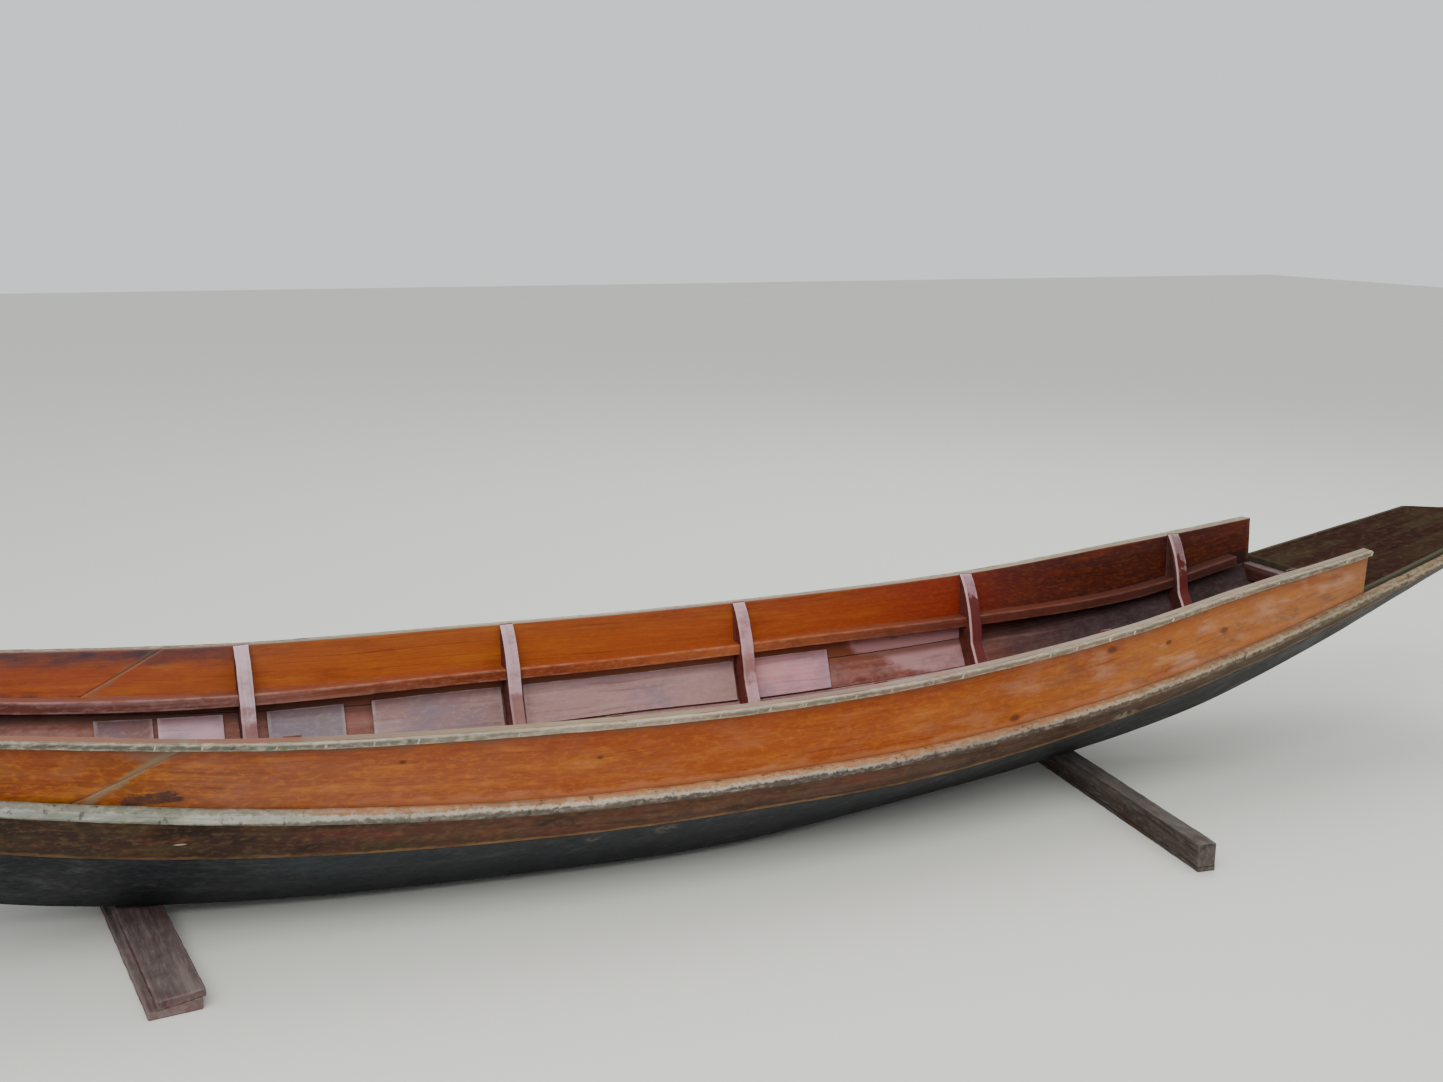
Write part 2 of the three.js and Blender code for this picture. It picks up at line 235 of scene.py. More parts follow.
def makeCloudGroup():
    tree, given, out = newGroup("clouds", ["Seed", "Low", "High"], ["Mask"], ["Vector", "Stretch"])
    cloud = output(tree, "ShaderNodeTexNoise", {"noise_dimensions": "4D"}, W=given["Seed"], Scale=1, Detail=5,
                   Roughness=0.6, Vector=vectorCalc("MULTIPLY", given["Vector"], given["Stretch"]))
    feed(out["Mask"], fade(cloud, given["Low"], given["High"]))
    return tree


def makeWearGroup():
    tree, given, out = newGroup("edgeWear", ["Scale", "Amount"], ["Mask"])
    patchy = fade(noise(given["Vector"], given["Scale"], 4), 0.35, 0.65, 0.25, 1)
    lifted = times(attributeOf(tree, "edge"), patchy)
    feed(out["Mask"], calc("MULTIPLY", lifted, given["Amount"], clamp=True))
    return tree


def makeDustGroup():
    tree, given, out = newGroup("settledDust", ["Amount"], ["Mask"])
    up = partsOf(addNode(tree, "ShaderNodeNewGeometry").outputs["Normal"])[2]
    patchy = fade(noise(given["Vector"], 14, 6, 0.7), 0.3, 0.65, 0.35, 1)
    feed(out["Mask"], calc("MULTIPLY", times(fade(up, 0.25, 0.95), patchy), given["Amount"], clamp=True))
    return tree


groups = {"grain": makeGrainGroup(), "cloud": makeCloudGroup(), "wear": makeWearGroup(), "dust": makeDustGroup()}

hullLong = 4.8      # the stretch in metres that tones along the boat cover, about its middle


# a material that is built up in layers of colour; its dictionary holds:
#   tones, as one colour or as (metres along x, colour) stops
#   "grain": how often a metre along and across the plank, how wavy, seed
#   "clouds": how often a metre in x, y and z, or along and across the plank, seed, where one begins and is full
#   "edges": how many metres from an edge a tone has faded out, and where it is full
class Finish:
    def __init__(self, name, values, base=None, shine=0.2, **constants):
        self.material = bpy.data.materials.new(name)
        self.material.use_nodes = True
        self.tree = self.material.node_tree
        self.shader = self.tree.nodes["Principled BSDF"].inputs
        self.shader["Specular IOR Level"].default_value = shine
        for key, value in constants.items():
            feed(self.shader[key.replace("_", " ")], value)
        self.values = values
        self.plank = output(self.tree, "ShaderNodeUVMap", {"uv_map": "plank"})
        self.place = addNode(self.tree, "ShaderNodeTexCoord").outputs["Object"]
        self.x, self.y, self.z = partsOf(self.place)
        self.colour = self.tone(base)

    def tone(self, name):
        colour = self.values.get(name, name)
        if not isinstance(colour, list):
            return colour
        return ramp(scaled(self.x, 1 / hullLong, 0.5), [(at / hullLong + 0.5, code) for at, code in colour])

    # amounts are masks, numbers or the names of clouds
    def cover(self, tone, *amounts):
        masks = [self.cloud(amount) if isinstance(amount, str) else amount for amount in amounts]
        self.colour = blend(times(*masks), self.colour, self.tone(tone))

    def fringe(self, tone, distance, *amounts):
        self.cover(tone, fade(distance, *self.values["edges"][tone]), *amounts)

    def use(self, group, **values):
        return addNode(self.tree, "ShaderNodeGroup", {"node_tree": groups[group]}, **values).outputs

    def grain(self):
        along, across, waver, seed = self.values["grain"]
        return self.use("grain", Vector=self.plank, Along=along, Across=across, Waver=waver, Seed=seed)

    def cloud(self, cloud):
        stretch, seed, low, high = self.values["clouds"][cloud] if isinstance(cloud, str) else cloud
        place = self.place if len(stretch) == 3 else self.plank
        return self.use("cloud", Vector=place, Stretch=(*stretch, 1)[:3], Seed=seed, Low=low, High=high)["Mask"]

    def attribute(self, name):
        return attributeOf(self.tree, name)

    # a soft patch round a centre that fades out past its reach, both in metres
    def spot(self, centre, reach):
        away = vectorCalc("DIVIDE", vectorCalc("SUBTRACT", self.place, centre), reach)
        return fade(vectorCalc("LENGTH", away), 0.5, 1.5, 1, 0)

    # coarse clouds of the dark tone and fine ones of the light tone
    def mottle(self, amount, dark="dark", light="light", across=1):
        for tone, often, upwards, seed, low in ((dark, 9, 28, 91, 0.45), (light, 55, 120, 95, 0.46)):
            self.cover(tone, self.cloud(((often * across, often / across, upwards), seed, low, 0.68)), amount)

    def wear(self, tone, scale, amount):
        self.cover(tone, self.use("wear", Vector=self.place, Scale=scale, Amount=amount)["Mask"])

    def dust(self, amount):
        self.cover("dusty", self.use("dust", Vector=self.place, Amount=amount)["Mask"])

    def done(self, roughness=None, height=None, strength=0.5, distance=0.0015):
        feed(self.shader["Base Color"], self.colour)
        feed(self.shader["Roughness"], roughness)
        if height is not None:
            bump = output(self.tree, "ShaderNodeBump", Height=height, Strength=strength, Distance=distance)
            feed(self.shader["Normal"], bump)
        return self.material


# a pale slanting patch of painted light inside, between the fourth and fifth frames
lightPatchLook = {
    "tone": "#b98a8c",
    "slope": 0.375,
    "begins": (0.478, 0.502),
    "from": 0.590,
    "to": 0.97,
    "ragged": ((14, 14, 30), 58, 0.3, 0.7),
}


# the mask of the painted light patch, above a slanting line
def paintedLightPatch(wood, values):
    shaky = scaled(wood.cloud(values["ragged"]), 0.03, -0.015)
    rise = plus(scaled(wood.x, values["slope"], wood.z), shaky)
    return times(fade(rise, *values["begins"], 0, 0.85), between(wood.x, values["from"], values["to"], 0.02))


varnishLook = {
    "outer": [(-1.6, "#6f3606"), (-1.22, "#703808"), (-1.08, "#7a452c"), (-0.75, "#844628"), (-0.15, "#8f4312"),
              (0.35, "#914410"), (0.9, "#93501c"), (1.25, "#a5632c"), (1.85, "#946440")],
    # the inner tones darken forward of about x = 1 as painted shadow over the fore interior
    "inner": [(-1.6, "#90462a"), (-1.2, "#924828"), (-0.7, "#a0521c"), (-0.3, "#9e4e18"), (0.3, "#9a471b"),
              (0.62, "#923c15"), (0.9, "#84260f"), (1.05, "#57201a"), (1.3, "#421810")],
    # painted shade under the stringer, darkest in the painted shadow at the fore end
    "shaded": [(-1.3, "#46342c"), (-0.7, "#6a4434"), (0.1, "#9c6448"), (0.6, "#7c4630"), (1.1, "#2c1814")],
    "rimTones": [(-1.6, "#6b564a"), (-1.1, "#6f5b4e"), (-0.35, "#89765a"), (0.15, "#806759"), (0.6, "#84705f"),
                 (1.05, "#877962"), (1.8, "#7d705c")],
    "dark": "#4a1f0c", "gold": "#bf7420", "pale": "#b98b70", "red": "#7c2c12", "grime": "#5d4536",
    "margin": "#735743", "edge": "#80604d", "overRail": "#b0714c", "stain": "#35211f", "stained": "#4b373c",
    "putty": "#6f664e", "knot": "#43200f", "scuff": "#685b4c",
    "coat": 0.05,
    "grain": (2.6, 170, 0.06, 3),
    "clouds": {
        "golden": ((5, 34), 2, 0.48, 0.70),
        "ruddy": ((4, 26), 9, 0.50, 0.70),
        "bleached": ((8, 8, 26), 14, 0.47, 0.66),
        "dirty": ((10, 10, 24), 17, 0.50, 0.70),
        "ragged": ((18, 18, 50), 2, 0.3, 0.7),
        "uneven": ((60, 60, 90), 73, 0.35, 0.6),
        "smudged": ((18, 18, 60), 83, 0.38, 0.62),
        "trodden": ((20, 30, 20), 75, 0.3, 0.55),
        "scuffed": ((4, 4, 22), 7, 0.4, 0.65),
    },
    "edges": {
        "margin": (0.028, 0.018), "red": (0.062, 0.026), "overRail": (0.034, 0.020), "stained": (0.054, 0.014),
        "shaded": (0.052, 0.034), "rimTones": (0.0022, 0.0008),
    },
    "scuffAt": ((-1.185, -0.38, 0.449), (0.065, 0.1, 0.024)),
    "stainAt": (-1.20, 0.350),
    "stainHalf": 0.058,
    "knots": [((0.934, -0.327, 0.404), 0.009), ((0.655, -0.347, 0.279), 0.008), ((1.12, -0.318, 0.395), 0.006),
              ((1.31, -0.285, 0.40), 0.008), ((-0.749, -0.365, 0.376), 0.004), ((-0.359, -0.387, 0.339), 0.004)],
}


# the dark stain on the starboard side: a low mound with a flat foot
def spillOn(wood, values, ragged):
    aside, height = minus(wood.x, values["stainAt"][0]), minus(wood.z, values["stainAt"][1])
    bulge = minus(1, calc("POWER", calc("DIVIDE", aside, values["stainHalf"]), 2))
    over = plus(minus(height, scaled(calc("MAXIMUM", bulge, 0), 0.018, -0.004)), times(ragged, 1.4))
    return times(fade(over, 0.005, -0.002), fade(bulge, -0.05, 0.25), fade(height, -0.012, -0.007),
                 fade(wood.y, 0.1, -0.1), scaled(wood.cloud("uneven"), 0.3, 0.62))


def makeVarnish(values, side):
    wood = Finish("varnish" + side.title(), values, side, Coat_Roughness=0.3)
    outside = side == "outer"
    streaks, pores = wood.grain()[1:]
    x, top = wood.x, wood.attribute("top")
    wood.cover("gold", "golden", 0.42 if outside else fade(x, 0.8, 0.5, 0.04, 0.36))
    wood.cover("red", "ruddy", 0.55)
    if outside:
        # sun-bleached and dirty patches, more of them towards the bow
        forward = fade(x, 0.3, 1.3)
        wood.cover("pale", "bleached", scaled(forward, 0.55, 0.10))
        wood.cover("grime", "dirty", scaled(forward, 0.55, 0.05))
    wood.cover("dark", fade(streaks, 0.48, 0.28, 0, 0.45))
    wood.cover("gold", fade(streaks, 0.54, 0.76, 0, 0.30 if outside else 0.16))
    wood.cover("dark", fade(pores, 0.46, 0.25, 0, 0.45))
    wood.mottle(0.26 if outside else 0.10, "red", "gold")
    ragged = scaled(wood.cloud("ragged"), 0.016, -0.008)
    frayed, low = plus(top, ragged), plus(wood.attribute("low"), ragged)
    if outside:
        wood.fringe("margin", frayed, fade(x, 0.2, -0.6, 0.4, 0.85))
        wood.cover("scuff", wood.spot(*values["scuffAt"]), 0.85)
        # darker towards the strip, with a lighter line over the rub rail
        wood.fringe("red", frayed, 0.32)
        wood.fringe("overRail", low, 0.5, fade(x, -0.95, -0.6))
        wood.cover("stain", spillOn(wood, values, ragged))
    else:
        # a dark band along the top, stronger aft
        aft = fade(x, -0.78, -1.12)
        wood.fringe("stained", frayed, scaled(aft, 0.85, 0.15), scaled(wood.cloud("smudged"), 0.34, 0.66))
        # painted shade under the stringer, darkest in the painted shadow at the fore end
        wood.fringe("shaded", low, 0.93)
        # the painted light patch on the washstrake's low part, below the stringer
        wood.cover(lightPatchLook["tone"], paintedLightPatch(wood, lightPatchLook), fade(low, 0.048, 0.030))
    for centre, size in values["knots"]:
        wood.cover("knot", wood.spot(centre, (size * 1.7, 0.1, size)), 0.7)
    fromJoint = calc("ABSOLUTE", plus(wood.attribute("scarf"), times(ragged, 0.5)))
    halfBand, strength = (0.0052, 0.66) if outside else (0.0035, 0.34)
    wood.cover("putty", fade(fromJoint, halfBand + 0.0045, halfBand - 0.0030, 0, strength))
    wood.wear("edge", 30, 0.5)
    wood.fringe("rimTones", top, scaled(wood.cloud("trodden"), 0.45, 0.5))
    scuffed = wood.cloud("scuffed")
    feed(wood.shader["Coat Weight"], scaled(scuffed, -values["coat"], values["coat"]))
    return wood.done(scaled(scuffed, 0.22, 0.45), plus(streaks, times(pores, 0.5)), 0.4, 0.0012)


stripLook = {
    "top": [(-1.7, "#6f5c4e"), (-1, "#7a6959"), (-0.4, "#a8967f"), (0, "#b09e86"), (0.4, "#92806a"),
            (0.9, "#96856e"), (1.2, "#94846c"), (1.9, "#85796a")],
    "side": [(-1.7, "#514b43"), (-1.2, "#5b594e"), (-0.8, "#666459"), (-0.3, "#978675"), (0, "#8b7565"),
             (0.3, "#7e6858"), (0.9, "#86705c"), (1.2, "#857058"), (1.9, "#6e6352")],
    "nick": [(-1.2, "#b3a58a"), (0.3, "#b9ac95"), (0.9, "#d6cab2"), (1.8, "#cfc3a8")],
    "dark": "#3d352c", "light": "#c2b59f", "green": "#565f4e",
    "moss": {"top": 0.2, "side": 0.5},
    "grain": (5, 260, 0.03, 8),
    "clouds": {
        "mossy": ((6, 6, 30), 4, 0.45, 0.65),
        "split": ((40, 60, 60), 11, 0.60, 0.70),
        "bruised": ((80, 80, 80), 13, 0.4, 0.6),
    },
}


def makeStrip(values, face):
    wood = Finish("gunwaleStrip" + face.title(), values, face)
    bands, streaks, pores = wood.grain()
    wood.cover("dark", fade(streaks, 0.48, 0.28, 0, 0.6))
    wood.cover("light", fade(bands, 0.5, 0.75, 0, 0.5))
    wood.cover("green", "mossy", values["moss"][face])
    wood.mottle(0.42)
    wood.cover("dark", "split", 0.6)
    wood.wear("light", 60, 0.55)
    return wood.done(scaled(bands, 0.3, 0.6), plus(streaks, times(pores, 0.6)), 0.7, 0.002)


def makeNickWood(values):
    wood = Finish("nickWood", values, "nick", Roughness=0.8)
    wood.cover("green", "bruised", 0.4)
    return wood.done()


# the rub rail's colour goes by the height on it: a light line that is partly worn wood and partly a painted
# highlight, darker below, varnish runs above
railLook = {
    "upper": [(-1.6, "#77756a"), (-1, "#807a68"), (-0.85, "#9a7052"), (-0.2, "#a5764f"), (0.4, "#a3714c"),
              (0.8, "#a07350"), (1.2, "#957250"), (2.3, "#6f5e49")],
    "line": [(-1.6, "#8e9189"), (-0.9, "#a8a598"), (-0.5, "#beae9c"), (0, "#b3a593"), (0.4, "#9a8878"),
             (0.8, "#a2917b"), (1.1, "#b0a088"), (1.5, "#a5957b"), (2.3, "#95866b")],
    "lower": [(-1.6, "#6c6b60"), (-0.9, "#6c675c"), (-0.5, "#5f554c"), (0.3, "#50433f"), (0.8, "#54443a"),
              (1.2, "#665240"), (2.3, "#5e4e3e")],
    "dark": "#332b25", "light": "#c6bba9", "green": "#5c6353",
    "grain": (6, 220, 0.03, 9),
    "clouds": {
        "slow": ((5, 5, 5), 3, 0.3, 0.7),
        "quick": ((90, 90, 60), 6, 0.3, 0.7),
        "mossy": ((5, 5, 26), 4, 0.45, 0.65),
        "nicked": ((60, 60, 40), 12, 0.57, 0.66),
    },
    "edges": {"line": (-0.0025, 0.0025), "upper": (0.0055, 0.0105)},
}


def makeRail(values):
    wood = Finish("rubRail", values, "lower")
    bands, streaks, pores = wood.grain()
    shaky = plus(scaled(wood.cloud("slow"), 0.005, -0.0025), scaled(wood.cloud("quick"), 0.006, -0.003))
    rise = plus(wood.attribute("rise"), shaky)
    # the light line, partly a painted highlight, is broad aft and narrows forward
    lineFoot = fade(wood.x, -1.15, -0.75, -0.013, 0.0005)
    wood.fringe("line", minus(rise, lineFoot))
    wood.fringe("upper", rise)
    wood.cover("dark", fade(streaks, 0.48, 0.28, 0, 0.5))
    wood.cover("light", fade(streaks, 0.56, 0.78, 0, 0.4))
    wood.cover("green", "mossy", fade(wood.x, -0.4, -1, 0.2, 0.55))
    wood.mottle(0.25)
    nicked = wood.cloud("nicked")
    wood.cover("dark", nicked, 0.6)
    height = minus(plus(streaks, times(pores, 0.6)), nicked)
    return wood.done(scaled(bands, 0.3, 0.6), height, 0.7, 0.002)


sidePlankLook = {
    "tones": [(-1.6, "#2b1d16"), (-1.1, "#36241b"), (-0.9, "#44291f"), (-0.6, "#57352a"), (-0.15, "#5e3f30"),
              (0.6, "#4f392e"), (1.2, "#53402e"), (1.7, "#584634"), (2.3, "#4c3e30")],
    "dark": "#1f120e", "red": "#70301f", "olive": "#473f25", "tan": "#7b6240", "seam": "#86643f",
    "chip": "#8d7f6d", "scratch": "#a5998c",
    "grain": (2.8, 150, 0.05, 12),
    "clouds": {
        "ruddy": ((6, 40), 19, 0.46, 0.68),
        "olive": ((7, 7, 24), 21, 0.44, 0.64),
        "deep": ((6, 6, 20), 27, 0.50, 0.64),
        "ragged": ((26, 26, 26), 5, 0.25, 0.75),
        "broken": ((9, 9, 30), 25, 0.38, 0.55),
        "flaked": ((50, 50, 50), 33, 0.42, 0.55),
    },
    "edges": {"dark": (0.034, 0.012), "seam": (0.006, 0.002)},
    "chips": [((-0.245, -0.342, 0.154), 0.010), ((-0.327, -0.335, 0.150), 0.008), ((-0.195, -0.335, 0.146), 0.011),
              ((1.03, -0.265, 0.215), 0.02)],
    "scratchAt": ((-1.153, -0.29, 0.2455), (0.0105, 0.1, 0.0018)),
}


def makeSidePlank(values):
    wood = Finish("sidePlankOuter", values, "tones")
    streaks, pores = wood.grain()[1:]
    wood.cover("red", "ruddy", 0.5)
    wood.cover("dark", fade(streaks, 0.5, 0.28, 0, 0.65))
    wood.cover("tan", fade(streaks, 0.55, 0.78, 0, 0.35))
    olive = wood.cloud("olive")
    wood.cover("olive", olive, fade(wood.x, -0.2, -1, 0.3, 0.62))
    wood.cover("dark", "deep", 0.6)
    wood.mottle(0.28, light="tan")
    low = wood.attribute("low")
    wood.fringe("dark", low, 0.35)
    wood.fringe("seam", minus(low, times(wood.cloud("ragged"), 0.006)), 0.62,
                scaled(wood.cloud("broken"), 0.75, 0.25), fade(wood.x, -1.5, -0.5, 0.45, 1))
    for centre, size in values["chips"]:
        wood.cover("chip", wood.spot(centre, (size * 1.8, 0.1, size * 0.6)), "flaked", 0.75)
    wood.cover("scratch", wood.spot(*values["scratchAt"]), 0.8)
    return wood.done(scaled(olive, 0.2, 0.5), plus(streaks, times(pores, 0.5)))


tarLook = {
    "tones": [(-1.6, "#14171a"), (-1.15, "#1a1d1f"), (-0.75, "#292c2d"), (0, "#313134"), (0.8, "#2d2b29"),
              (1.4, "#2f2d27"), (2.3, "#2e2a24")],
    "dark": "#0f1014", "pale": "#47454b", "teal": "#243236", "violet": "#332a35", "rubbed": "#6b5f52",
    "grain": (2.5, 60, 0.05, 16),
    "clouds": {
        "deep": ((9, 9, 12), 40, 0.42, 0.62),
        "pale": ((16, 16, 24), 44, 0.52, 0.72),
        "teal": ((6, 6, 8), 47, 0.48, 0.68),
        "violet": ((7, 7, 9), 50, 0.5, 0.7),
        "flaked": ((50, 50, 50), 36, 0.42, 0.56),
    },
    "edges": {"dark": (0.13, 0.04)},
    "rubs": [((-0.19, -0.325, 0.137), 0.016), ((-0.35, -0.325, 0.137), 0.010)],
}


def makeTar(values):
    wood = Finish("tar", values, "tones", shine=0.25)
    streaks = wood.grain()["Streaks"]
    deep, pale = wood.cloud("deep"), wood.cloud("pale")
    wood.cover("dark", deep, 0.6)
    wood.cover("pale", pale, 0.65)
    for tone in ("teal", "violet"):
        wood.cover(tone, tone, 0.5)
    wood.cover("pale", fade(streaks, 0.5, 0.75, 0, 0.3))
    wood.mottle(0.35, light="pale")
    # painted shade, darker down to the bottom
    wood.fringe("dark", wood.z, 0.6)
    for centre, size in values["rubs"]:
        wood.cover("rubbed", wood.spot(centre, (size * 1.6, 0.1, size)), "flaked", 0.6)
    return wood.done(scaled(deep, -0.2, 0.8), plus(times(streaks, 0.6), pale))


# the bare wood inside the boat: one maker, with values that all share unless a look has its own
insideShared = {
    "grain": (3, 80, 0.04, 23), "dusty": "#a5969b", "light": "#b08c84",
    "dust": 0.3, "dirt": 0.4, "wear": 0.3, "banding": 0.4, "mottle": 0.22,
    "clouds": {"dirt": ((13, 13, 20), 52, 0.48, 0.7), "rubbed": ((9, 9, 9), 41, 0.3, 0.7)},
}
stringerShared = {
    # the light tone of the stringers' worn arrises is partly a painted highlight along the front edge
    "light": [(-1.4, "#a28487"), (-0.5, "#a87d66"), (0.3, "#b58364"), (0.8, "#8c5c4c"), (1.6, "#6e4c46")],
    "grain": (3, 160, 0.04, 23), "dust": 0,
}
# the tones of these looks that darken forward of about x = 1 are painted shadow over the fore interior
insideLooks = {
    "planking": {
        "tones": [(-1.6, "#8c5c4e"), (-0.3, "#8a5a50"), (0.5, "#8a5a50"), (0.6, "#80402f"), (0.96, "#804636"),
                  (1.06, "#4a241e"), (1.3, "#2a1513"), (1.8, "#241210")],
        # painted shade under the stringer
        "shaded": [(-1.4, "#4a3a32"), (-0.7, "#6a4438"), (0.1, "#9c6a54"), (0.6, "#7c4630"), (1.1, "#2c1814")],
        "dark": "#3a1d18",
        "edges": {"shaded": (0.030, 0.012)},
    },
    "bilge": {
        "tones": [(-1.6, "#9a6c64"), (0.5, "#966660"), (0.9, "#7a4a40"), (1.3, "#2a1513"), (1.8, "#241210")],
        "dark": "#4a2c26",
    },
    "arm": {
        "tones": [(-1.6, "#c2aab6"), (-0.6, "#bf9ea2"), (0.2, "#c09398"), (0.9, "#a57c84"), (1.6, "#7a5a5a")],
        "lower": [(-0.6, "#7c524a"), (0.35, "#95665c"), (0.9, "#5c1f18")],
        "dark": "#6e4644", "light": "#d8c4c8", "rubbed": "#c8a4a2",
        "grain": (7, 160, 0.04, 23), "dust": 0.2, "dirt": 0.45, "wear": 0.35,
        "edges": {"rubbed": (0.0075, 0.0045)},
    },
    # the arms' fore, aft and outer faces, darker as painted shade; the floor timbers and deck beams wear it all
    # over
    "armShadedSide": {
        "tones": [(-1.6, "#4a2f36"), (-0.6, "#552f2e"), (0.2, "#66281f"), (0.9, "#5f2a20"), (1.6, "#40201a")],
        "dark": "#2a1412", "light": "#8c6a66", "grain": (7, 160, 0.04, 23), "wear": 0.45,
    },
    "stringer": {
        **stringerShared,
        "tones": [(-1.6, "#5c3228"), (-1.1, "#5a3024"), (-0.6, "#753619"), (-0.2, "#843916"), (0.2, "#a0552a"),
                  (0.45, "#8d4a2a"), (0.9, "#5c2a1c"), (1.6, "#43211a")],
        "dark": "#351a15", "dirt": 0.3, "wear": 0.7,
    },
    "stringerTop": {
        **stringerShared,
        "tones": [(-1.6, "#7b4c40"), (-1, "#7d4430"), (-0.3, "#8f3f12"), (0.3, "#94400f"), (0.6, "#8a4220"),
                  (0.9, "#6e3524"), (1.6, "#4a281e")],
        # the light tone of the worn arrises is partly a painted highlight along the front edge
        "light": [(-1.4, "#a28487"), (-0.5, "#a87d66"), (0.3, "#b27b58"), (0.8, "#8c5c4c"), (1.6, "#6e4c46")],
        "dark": "#4c2a20", "dirt": 0.2, "wear": 0.5, "banding": 0.1, "mottle": 0.1,
    },
    "floor": {
        "tones": [(-1, "#7d6a5c"), (1, "#7a6455")],
        "dark": "#4a382e", "light": "#a39484",
        "grain": (3, 90, 0.04, 23), "dust": 0.6, "dirt": 0.5, "wear": 0.35,
    },
}


# arms are pale where hands and feet rub, and redder low down
def layArmTones(wood):
    x = wood.x

    def forward(aft, fore):
        return fade(x, 0.5, 0.8, aft, fore)

    drop = plus(wood.attribute("drop"), scaled(wood.cloud("rubbed"), 0.12, -0.06))
    lower = fade(minus(drop, forward(0.125, 0.052)), 0, forward(0.05, 0.012))
    again = times(fade(drop, 0.195, 0.23), between(x, 0.1, 0.55, 0.05))
    wood.cover("lower", calc("MULTIPLY", lower, minus(forward(0.8, 0.96), again), clamp=True))
    wood.fringe("rubbed", wood.attribute("fromAft"), 0.85, fade(x, 0.3, 0.8, 0.3, 1))


def makeInside(name, values):
    wood = Finish("inside" + name.title(), values, "tones")
    bands, streaks, pores = wood.grain()
    if name == "planking":
        # the painted light patch on the side plank
        wood.cover(lightPatchLook["tone"], paintedLightPatch(wood, lightPatchLook))
    wood.cover("dark", fade(streaks, 0.48, 0.26, 0, 0.45))
    wood.cover("light", fade(bands, 0.5, 0.74, 0, values["banding"]))
    dirt = wood.cloud("dirt")
    wood.cover("dark", dirt, values["dirt"])
    wood.mottle(fade(wood.x, 0.6, 1.1, values["mottle"], 0.07))
    # pale worn arrises; on the stringers partly a painted highlight
    wood.wear("light", 28, values["wear"])
    wood.dust(values["dust"])
    if name == "arm":
        layArmTones(wood)
    if name == "planking":
        # painted shade along the top of the side plank, under the stringer
        wood.fringe("shaded", wood.attribute("top"), 0.75)
    return wood.done(scaled(dirt, 0.15, 0.68), plus(streaks, times(pores, 0.5)))


liningLook = {
    "boards": ["#7f605a", "#c8a4ad", "#85797a", "#967872", "#aa8680", "#d2989b"],    # from the stern forward
    "dark": "#5c4044", "light": "#d2bcc0", "blue": "#77758a",
    "grain": (3.5, 100, 0.04, 31),
    "clouds": {"patch": ((8, 8, 14), 61, 0.46, 0.66), "spilt": ((30, 30, 30), 64, 0.3, 0.5)},
    # where the painted shadow along the boards' tops fades out
    "edges": {"dark": (0.034, 0)},
    "spiltAt": ((-1.115, 0.27, 0.235), (0.05, 0.3, 0.03)),
}


def makeLining(values):
    wood = Finish("liningBoard", values)
    bands, streaks, pores = wood.grain()
    wood.colour = ramp(wood.attribute("tone"), [(n / 10, code) for n, code in enumerate(values["boards"])])
    wood.cover("dark", fade(streaks, 0.5, 0.28), 0.45)
    wood.cover("light", fade(bands, 0.5, 0.72), 0.4)
    patch = wood.cloud("patch")
    wood.cover("blue", patch, 0.4)
    wood.mottle(0.14)
    # painted shadow along the boards' tops, under the stringer
    wood.fringe("dark", wood.attribute("top"), fade(wood.x, -1.2, -0.6, 0.75, 0.5))
    wood.cover("blue", wood.spot(*values["spiltAt"]), "spilt", 0.7)
    wood.wear("light", 40, 0.5)
    return wood.done(scaled(patch, 0.1, 0.7), plus(streaks, times(pores, 0.5)), distance=0.0012)


deckLook = {
    "base": "#32211c", "olive": "#3d3826", "dark": "#1c1210", "light": "#5c4a40", "rim": "#4d4d3f",
    "grain": (2.5, 70, 0.05, 37),
    "clouds": {"olive": ((4, 18, 8), 70, 0.45, 0.65)},
    "edges": {"rim": (0.014, 0.010)},
}


def makeDeckWood(values):
    wood = Finish("deckWood", values, "base", shine=0)
    streaks = wood.grain()["Streaks"]
    wood.cover("dark", fade(streaks, 0.5, 0.3), 0.5)
    olive = wood.cloud("olive")
    wood.cover("olive", olive, 0.5)
    wood.mottle(0.22)
    wood.wear("rim", 26, 0.5)
    wood.fringe("rim", wood.attribute("rim"), 0.8)
    return wood.done(scaled(olive, 0.15, 0.6), streaks, 0.4)


bearerShared = {
    "dusty": "#8d8a87", "split": "#1d1512",
    "grain": (3, 95, 0.06, 43),
    "clouds": {"red": ((26, 5, 12), 80, 0.48, 0.64)},
}
bearerLooks = {
    "aft": {"base": "#4e3c3a", "dark": "#2c1b19", "light": "#857572", "red": "#54261f", "groove": 0},
    "fore": {"base": "#453d38", "dark": "#271e1b", "light": "#75716b", "red": "#40291f", "groove": 0.0115},
}


def makeBearerWood(name, values):
    wood = Finish("bearer" + name.title(), values, "base", shine=0.1)
    bands, streaks, pores = wood.grain()
    wood.cover("dark", fade(streaks, 0.52, 0.3), 0.65)
    wood.cover("light", fade(bands, 0.5, 0.7), 0.55)
    red = wood.cloud("red")
    wood.cover("red", red, 0.6)
    wood.mottle(0.35, across=2.6)
    # pale worn edges, partly a painted highlight along the top edges
    wood.wear("light", 24, 0.35)
    wood.dust(0.22)
    if values["groove"]:
        wood.cover("split", between(wood.z, values["groove"] - 0.001, values["groove"] + 0.001, 0.0008), 0.8)
    return wood.done(scaled(red, -0.1, 0.82), plus(streaks, times(pores, 0.6)), 0.6, 0.002)


